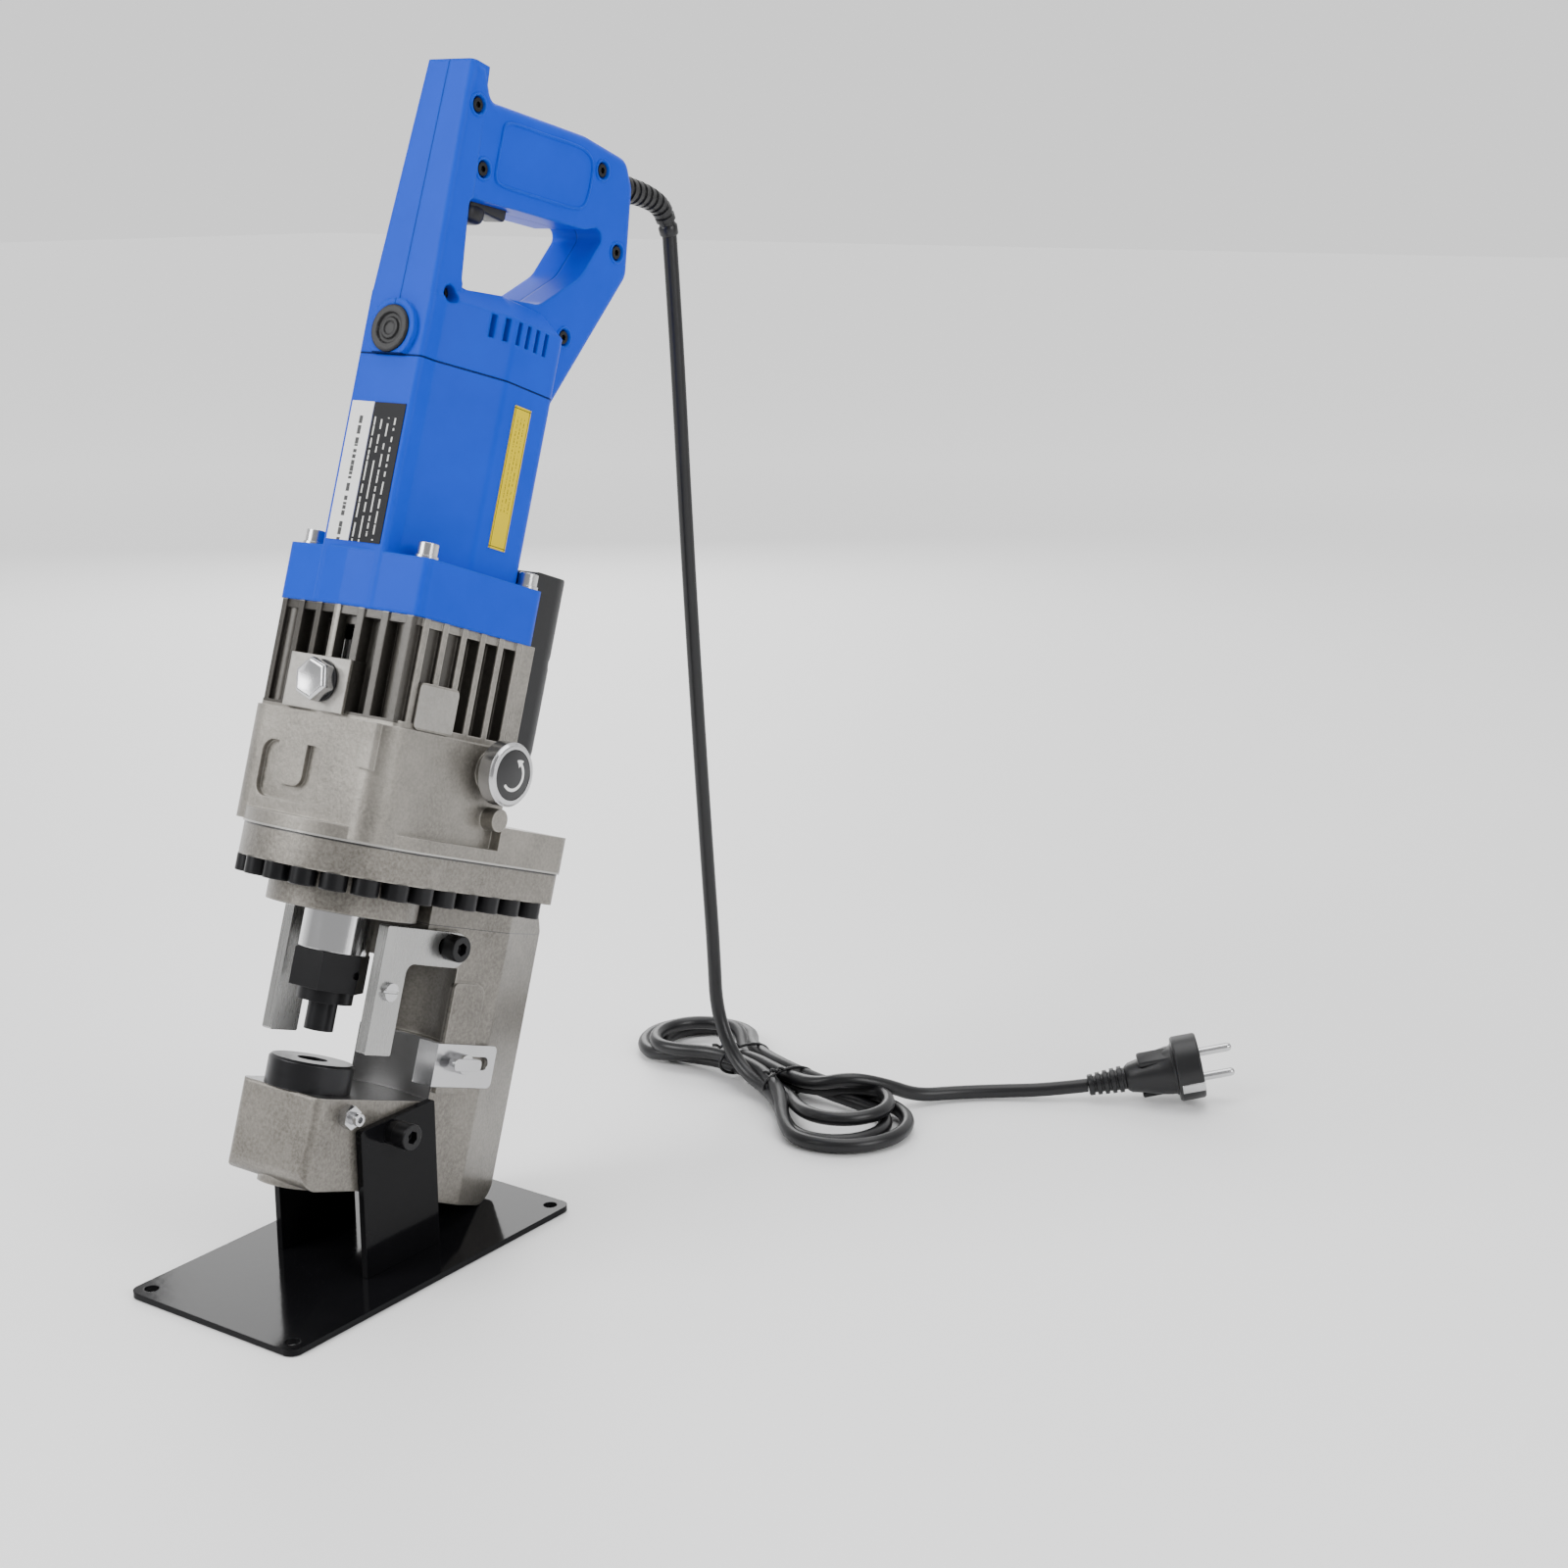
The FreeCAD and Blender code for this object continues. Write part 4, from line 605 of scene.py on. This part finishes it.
def settle(piece, turn, body, finish, replaced=(), smooth=32.0):
    # Puts a finished mesh in its place, with its place in the mesh, and dresses it.
    piece.data.transform(turn)
    piece.data.update()
    bpy.ops.object.select_all(action="DESELECT")
    piece.select_set(True)
    bpy.context.view_layer.objects.active = piece
    bpy.ops.object.shade_smooth_by_angle(angle=math.radians(smooth))
    return dress(piece, body, finish, replaced)


alongX = Matrix.Rotation(math.radians(90), 4, "Y")  # a piece's own Z to the tool's x
outwards = Matrix.Rotation(math.radians(90), 4, "X")  # and to the tool's front


# Lead, ties, guard and plug.
def makeTie(along, number):
    # Wire tie round the bundle, its two ends twisted together on top.
    tie = {"wire": 0.0009, "half": 0.0176, "rise": 0.0086, "middle": 0.0100, "steps": 14}
    twist = {"steps": 15, "turn": 1.1, "wide": 0.0010, "high": 0.0009, "across": -0.004, "top": 0.0190,
             "away": 0.0005, "reach": 0.0011, "climb": 0.00012}
    points = []
    for k in range(tie["steps"]):
        angle = 2 * math.pi * k / tie["steps"]
        points.append(hankPoint(along, tie["half"] * math.cos(angle),
                                tie["middle"] + tie["rise"] * math.sin(angle)))
    loop = splineCurve("leadTie" + str(number), points, tie["wire"])
    closeLoop(loop)
    side = number - 0.5
    points = []
    for k in range(twist["steps"]):
        angle = k * twist["turn"]
        points.append(hankPoint(along + twist["wide"] * math.cos(angle) + twist["away"] * k * side,
                                twist["across"] - twist["reach"] * k,
                                twist["top"] + twist["high"] * math.sin(angle) + twist["climb"] * k))
    ends = splineCurve("leadTieEnds" + str(number), points, tie["wire"])
    return [loop, ends]


def makeGuard():
    # Ribbed rubber sleeve, turned straight and then bent along its own curve.
    guard = {"route": [(84, 456.7), (104, 459.1), (124, 462), (142, 460.5), (149.5, 449)],
             "collar": [(0.0, 0.0062), (0.011, 0.0062), (0.0115, 0.0082), (0.016, 0.0080),
                        (0.0165, 0.0066)],
             "ribs": 9, "ribsStart": 0.018, "ribsEnd": 0.006, "radius": 0.0071, "taper": 0.0019,
             "groove": 0.0010, "nose": [(0.005, 0.0052), (0.0006, 0.0050), (0.0, 0.0046)]}
    places = [toolPoint(0, v / 1000, w / 1000) for v, w in guard["route"]]
    length = splineLength(places)
    stations = list(guard["collar"])
    pitch = (length - guard["ribsEnd"] - guard["ribsStart"]) / guard["ribs"]
    for k in range(guard["ribs"]):
        low = guard["ribsStart"] + k * pitch
        radius = guard["radius"] - guard["taper"] * k / guard["ribs"]
        stations += [(low, radius), (low + pitch * 0.55, radius - 0.0001),
                     (low + pitch * 0.65, radius - guard["groove"]),
                     (low + pitch * 0.95, radius - guard["groove"] - 0.0001)]
    stations += [(length - back, radius) for back, radius in guard["nose"]]
    sleeve = lathe("cordGuard", stations, 40)
    path = splineCurve("guardPath", places, 0.0)
    bend = sleeve.modifiers.new("bend", "CURVE")
    bend.object = path
    bend.deform_axis = "POS_Z"
    bpy.ops.object.select_all(action="DESELECT")
    sleeve.select_set(True)
    bpy.context.view_layer.objects.active = sleeve
    bpy.ops.object.modifier_apply(modifier="bend")
    bpy.data.objects.remove(path)
    settle(sleeve, Matrix.Identity(4), "root", "black_rubber", ["cord_guard"], 40)


plug = {
    "heading": 32.5,
    "tip": -12.0,
    "roll": 20.0,
    "reliefStart": [(0.0002, 0.0052), (0.0006, 0.0060)],
    "reliefRibs": 5,
    "reliefPitch": 0.0042,
    "reliefRadius": 0.0062,
    "reliefGrow": 0.00035,
    "reliefGroove": 0.0013,
    # Along the plug and its radius, from the relief to the recessed face.
    "shell": [(0.0225, 0.0072), (0.0245, 0.0086), (0.031, 0.0100), (0.041, 0.0128), (0.0465, 0.0138),
              (0.0490, 0.0139), (0.0502, 0.0150), (0.0506, 0.0178), (0.0516, 0.0187), (0.0640, 0.0187),
              (0.0650, 0.0180), (0.0650, 0.0162), (0.0640, 0.0158)],
    "pin": [(0.0638, 0.0024), (0.0815, 0.0024), (0.0828, 0.0021), (0.0836, 0.0014), (0.0839, 0.0005)],
    "pinPlaces": (0.0095, -0.0095),
    # Blocks on both sides: how far out, half sizes across, from and to along the plug.
    "earthClip": {"out": (0.0, 0.0178), "half": (0.0030, 0.0012), "along": (0.0520, 0.0652),
                  "bevel": 0.0005},
    "sideGrip": {"out": (0.0116, 0.0), "half": (0.0018, 0.0052), "along": (0.0300, 0.0485),
                 "bevel": 0.0013},
}


def plugTurn():
    end = Matrix.Translation(lead["floorRun"][-1])
    heading = Matrix.Rotation(math.radians(plug["heading"]), 4, "Z")
    tip = Matrix.Rotation(math.radians(plug["tip"]), 4, "Y")
    return end @ heading @ tip @ Matrix.Rotation(math.radians(plug["roll"]), 4, "X") @ alongX


def makePlugBlocks(name, block, finish):
    halfX, halfY = block["half"]
    start, end = block["along"]
    made = []
    for number, side in enumerate((-1, 1)):
        x = side * block["out"][0]
        y = side * block["out"][1]
        piece = roundedBlock(name + str(number), (x - halfX, y - halfY, start),
                             (x + halfX, y + halfY, end), block["bevel"])
        made.append(settle(piece, plugTurn(), "root", finish))
    return made


def makePlug():
    turn = plugTurn()
    stations = list(plug["reliefStart"])
    for k in range(plug["reliefRibs"]):
        low = 0.001 + k * plug["reliefPitch"]
        radius = plug["reliefRadius"] + plug["reliefGrow"] * k
        groove = radius - plug["reliefGroove"]
        stations += [(low, radius), (low + 0.0023, radius), (low + 0.0026, groove), (low + 0.0039, groove)]
    body = lathe("plugBody", stations + plug["shell"], 56)
    made = [settle(body, turn, "root", "black_rubber", ["plug_body"], 28)]
    for number, side in enumerate(plug["pinPlaces"]):
        pin = lathe("plugPin" + str(number), plug["pin"], 24)
        pin.data.transform(Matrix.Translation((side, 0, 0)))
        made.append(settle(pin, turn, "root", "zinc_steel", ["plug_pins"], 30))
    made += makePlugBlocks("plugEarthClip", plug["earthClip"], "zinc_steel")
    made += makePlugBlocks("plugGrip", plug["sideGrip"], "black_rubber")
    print("plug made")
    return made


def makeLead():
    points = leadPoints()
    length = splineLength(points)
    cord = splineCurve("mainsLead", points, lead["diameter"] / 2)
    dress(cord, "root", "black_rubber", ["cord_lead", "cord_hank", "cord_tail"])
    for number, along in enumerate(lead["tiePlaces"]):
        for piece in makeTie(along, number):
            dress(piece, "root", "black_rubber", ["cord_ties"])
    plugPieces = makePlug()
    makeGuard()
    print("lead made, metres:", round(length, 3))


# Release knob and oil plug.
def makeKnob():
    # Bright rim with a milled edge round a black dial.
    knob = {"inner": 0.0526, "v": 0.032, "w": 0.150, "radius": 0.0152, "thick": 0.0095, "teeth": 48,
            "toothRise": 0.0003, "lip": 0.0029}
    turn = toolTurn @ Matrix.Translation((knob["inner"], knob["v"], knob["w"])) @ alongX
    radius = knob["radius"]
    thick = knob["thick"]
    sides = 2 * knob["teeth"]
    rim = lathe("releaseKnobRim", [(0.0, radius - 0.0010), (0.0009, radius), (thick - 0.0016, radius),
                                   (thick - 0.0002, radius - 0.0009), (thick, radius - 0.0016),
                                   (thick, radius - knob["lip"]),
                                   (thick - 0.0008, radius - knob["lip"] - 0.0002)], sides)
    bpy.ops.object.mode_set(mode="EDIT")
    bpy.ops.mesh.select_all(action="DESELECT")
    bpy.ops.object.mode_set(mode="OBJECT")
    for face in rim.data.polygons:
        # Every other face of the round side becomes a tooth.
        place = face.center
        step = round(math.atan2(place.y, place.x) / (2 * math.pi) * sides - 0.5)
        upright = abs(face.normal.z) < 0.1 and 0.001 < place.z < thick - 0.0018
        face.select = upright and math.hypot(place.x, place.y) > radius - 0.0004 and step % 2 == 0
    bpy.ops.object.mode_set(mode="EDIT")
    bpy.context.tool_settings.mesh_select_mode = (False, False, True)
    bpy.ops.mesh.extrude_faces_move(TRANSFORM_OT_shrink_fatten={"value": knob["toothRise"]})
    bpy.ops.object.mode_set(mode="OBJECT")
    settle(rim, turn, "release_valve", "zinc_steel", ["release_knob"], 20)
    dial = lathe("releaseKnobDial", [(thick - 0.0009, radius - 0.0031), (thick - 0.0003, radius - 0.0032),
                                     (thick - 0.0001, radius - 0.0037)], 64)
    settle(dial, turn, "release_valve", "dial")
    print("release knob made")


def makeOilPlug():
    # Hexagon head with a raised pad and a dished middle.
    oil = {"across": 0.018, "height": 0.006, "w": 0.1765, "face": -0.0432, "turned": 12.0,
           "padInset": 0.0014, "padRise": 0.0009, "dishInset": 0.0022, "dishDepth": 0.0005,
           "corner": 0.0005}
    bpy.ops.object.select_all(action="DESELECT")
    bpy.ops.mesh.primitive_cylinder_add(vertices=6, radius=oil["across"] / math.sqrt(3),
                                        depth=oil["height"], location=(0, 0, oil["height"] / 2))
    head = bpy.context.object
    head.name = "oilPlugHead"
    bpy.ops.object.transform_apply(location=True, rotation=True, scale=True)
    for face in head.data.polygons:
        face.select = face.normal.z > 0.9
    bpy.ops.object.mode_set(mode="EDIT")
    bpy.context.tool_settings.mesh_select_mode = (False, False, True)
    bpy.ops.mesh.inset(thickness=oil["padInset"])
    bpy.ops.transform.translate(value=(0, 0, oil["padRise"]))
    bpy.ops.mesh.inset(thickness=oil["dishInset"])
    bpy.ops.transform.translate(value=(0, 0, -oil["dishDepth"]))
    bpy.ops.object.mode_set(mode="OBJECT")
    soften = head.modifiers.new("soften", "BEVEL")
    soften.width = oil["corner"]
    soften.segments = 2
    bpy.ops.object.modifier_apply(modifier="soften")
    seat = toolTurn @ Matrix.Translation((0, oil["face"], oil["w"])) @ outwards
    turn = seat @ Matrix.Rotation(math.radians(oil["turned"]), 4, "Z")
    settle(head, turn, "root", "zinc_steel", ["oil_plug"])
    print("oil plug made")


# Brush cap, trigger and the raised details of the handle.
def makeBrushCap():
    cap = {"seat": -0.037, "w": 0.3436, "radius": 0.0112, "proud": 0.0058}
    outer = cap["radius"]
    top = cap["proud"]
    # An outer ring, a groove and a raised button, as height and radius.
    face = lathe("brushCapRinged", [(0.0, outer), (top - 0.0006, outer), (top, outer - 0.0007),
                                    (top, outer - 0.0036), (top - 0.0013, outer - 0.0042),
                                    (top - 0.0013, outer - 0.0058), (top - 0.0003, outer - 0.0063),
                                    (top - 0.0003, outer - 0.0078), (top - 0.0011, outer - 0.0082)], 56)
    turn = toolTurn @ Matrix.Translation((0, cap["seat"], cap["w"])) @ outwards
    settle(face, turn, "root", "black_plastic", ["brush_cap"], 30)
    print("brush cap made")


def makeTrigger():
    # Bar in the grip and the finger hook at its front.
    trigger = {"half": 0.0068, "front": -0.0118, "back": 0.0148, "top": 0.4258, "waist": 0.4118,
               "overlap": 0.005, "hookBack": 0.0015, "bottom": 0.4052, "barBevel": 0.0018,
               "hookBevel": 0.0042}
    half = trigger["half"]
    bar = roundedBlock("triggerBar", (-half, trigger["front"], trigger["waist"]),
                       (half, trigger["back"], trigger["top"]), trigger["barBevel"])
    settle(bar, toolTurn, "trigger_lever", "black_plastic", ["trigger"])
    hook = roundedBlock("triggerHook", (-half, trigger["front"], trigger["bottom"]),
                        (half, trigger["hookBack"], trigger["waist"] + trigger["overlap"]),
                        trigger["hookBevel"])
    settle(hook, toolTurn, "trigger_lever", "black_plastic")
    print("trigger made")


# Raised bead round the flat of the grip, and a raised rim round each screw pocket, v and w in mm.
grip = {
    "side": 0.0160,
    "bead": 0.0008,
    "outline": [(-9, 446), (-9, 453), (-2, 455), (20, 457.5), (45, 461), (54, 460.5), (59, 457),
                (60, 450), (60, 440), (58, 434), (52, 431), (20, 427), (0, 424.5), (-7, 424.5),
                (-9, 428), (-9, 436)],
    "screws": [(-28.9, 454.5), (-17.5, 427.6), (67.3, 456), (90, 421), (62, 369)],
    "rimRadius": 0.0050,
    "rimThick": 0.0008,
}


def makeGripBead(name, side):
    points = [toolPoint(side * grip["side"], v / 1000, w / 1000) for v, w in grip["outline"]]
    bead = splineCurve("gripBead" + name, points, grip["bead"])
    closeLoop(bead)
    dress(bead, "root", "blue_shell")


def makeScrewRims():
    # The screw heads are on the right half of the handle only.
    for number, (v, w) in enumerate(grip["screws"]):
        bpy.ops.object.select_all(action="DESELECT")
        bpy.ops.mesh.primitive_torus_add(major_radius=grip["rimRadius"], minor_radius=grip["rimThick"],
                                         major_segments=40, minor_segments=10)
        rim = bpy.context.object
        rim.name = "screwRimRight" + str(number)
        bpy.ops.object.mode_set(mode="EDIT")
        bpy.ops.mesh.select_all(action="SELECT")
        bpy.ops.transform.resize(value=(1, 1, 0.8))
        bpy.ops.object.mode_set(mode="OBJECT")
        turn = toolTurn @ Matrix.Translation((grip["side"], v / 1000, w / 1000)) @ alongX
        settle(rim, turn, "root", "blue_shell")


# Floor and finishes on the carried-over nodes.
def makeFloor():
    # The lamps only reach the middle of the floor, so it glows faintly further out.
    studio = {"size": 28, "drop": 0.0004, "from": 0.7, "over": 2.6, "glow": 0.55}
    bpy.ops.object.select_all(action="DESELECT")
    bpy.ops.mesh.primitive_plane_add(size=studio["size"], location=(0, 0, -studio["drop"]))
    floor = bpy.context.object
    floor.name = "studioFloor"
    fixed = {"Roughness": 0.55, "Emission Strength": studio["glow"]}
    material, wire, shader, place = newMaterial("paleFloor", fixed)
    tone = wire.mixed(wire.noise(place, 3.0), colour(0.90, 0.90, 0.90), colour(0.93, 0.93, 0.93))
    x, y = wire.split(place)[:2]
    far = ((x.away(y) - studio["from"]) / studio["over"]).clamped()
    shine = wire.mixed(far, colour(0, 0, 0), colour(1, 1, 1))
    floor.data.materials.append(connect(material, shader, {"Base Color": tone, "Emission Color": shine}))
    print("floor made")


def dressNodes():
    slots = {part["node"]: part["material_slot"] for part in frame["record"]["subparts"]}
    for name, piece in nodes.items():
        piece.data.materials.clear()
        piece.data.materials.append(finishes[slots[name]])
    # Painted shade: the washer gets the black oxide finish in place of copper, because it sits in shadow.
    nodes["oil_plug_washer"].data.materials[0] = finishes["black_oxide"]
    print("nodes dressed", len(nodes))


makeCamera()
finishes = makeFinishes()
makeLead()
makeKnob()
makeOilPlug()
makeBrushCap()
makeTrigger()
makeGripBead("Right", 1)
makeScrewRims()
makeGripBead("Left", -1)
print("grip beads made")
dressNodes()
makeFloor()
makeLights()
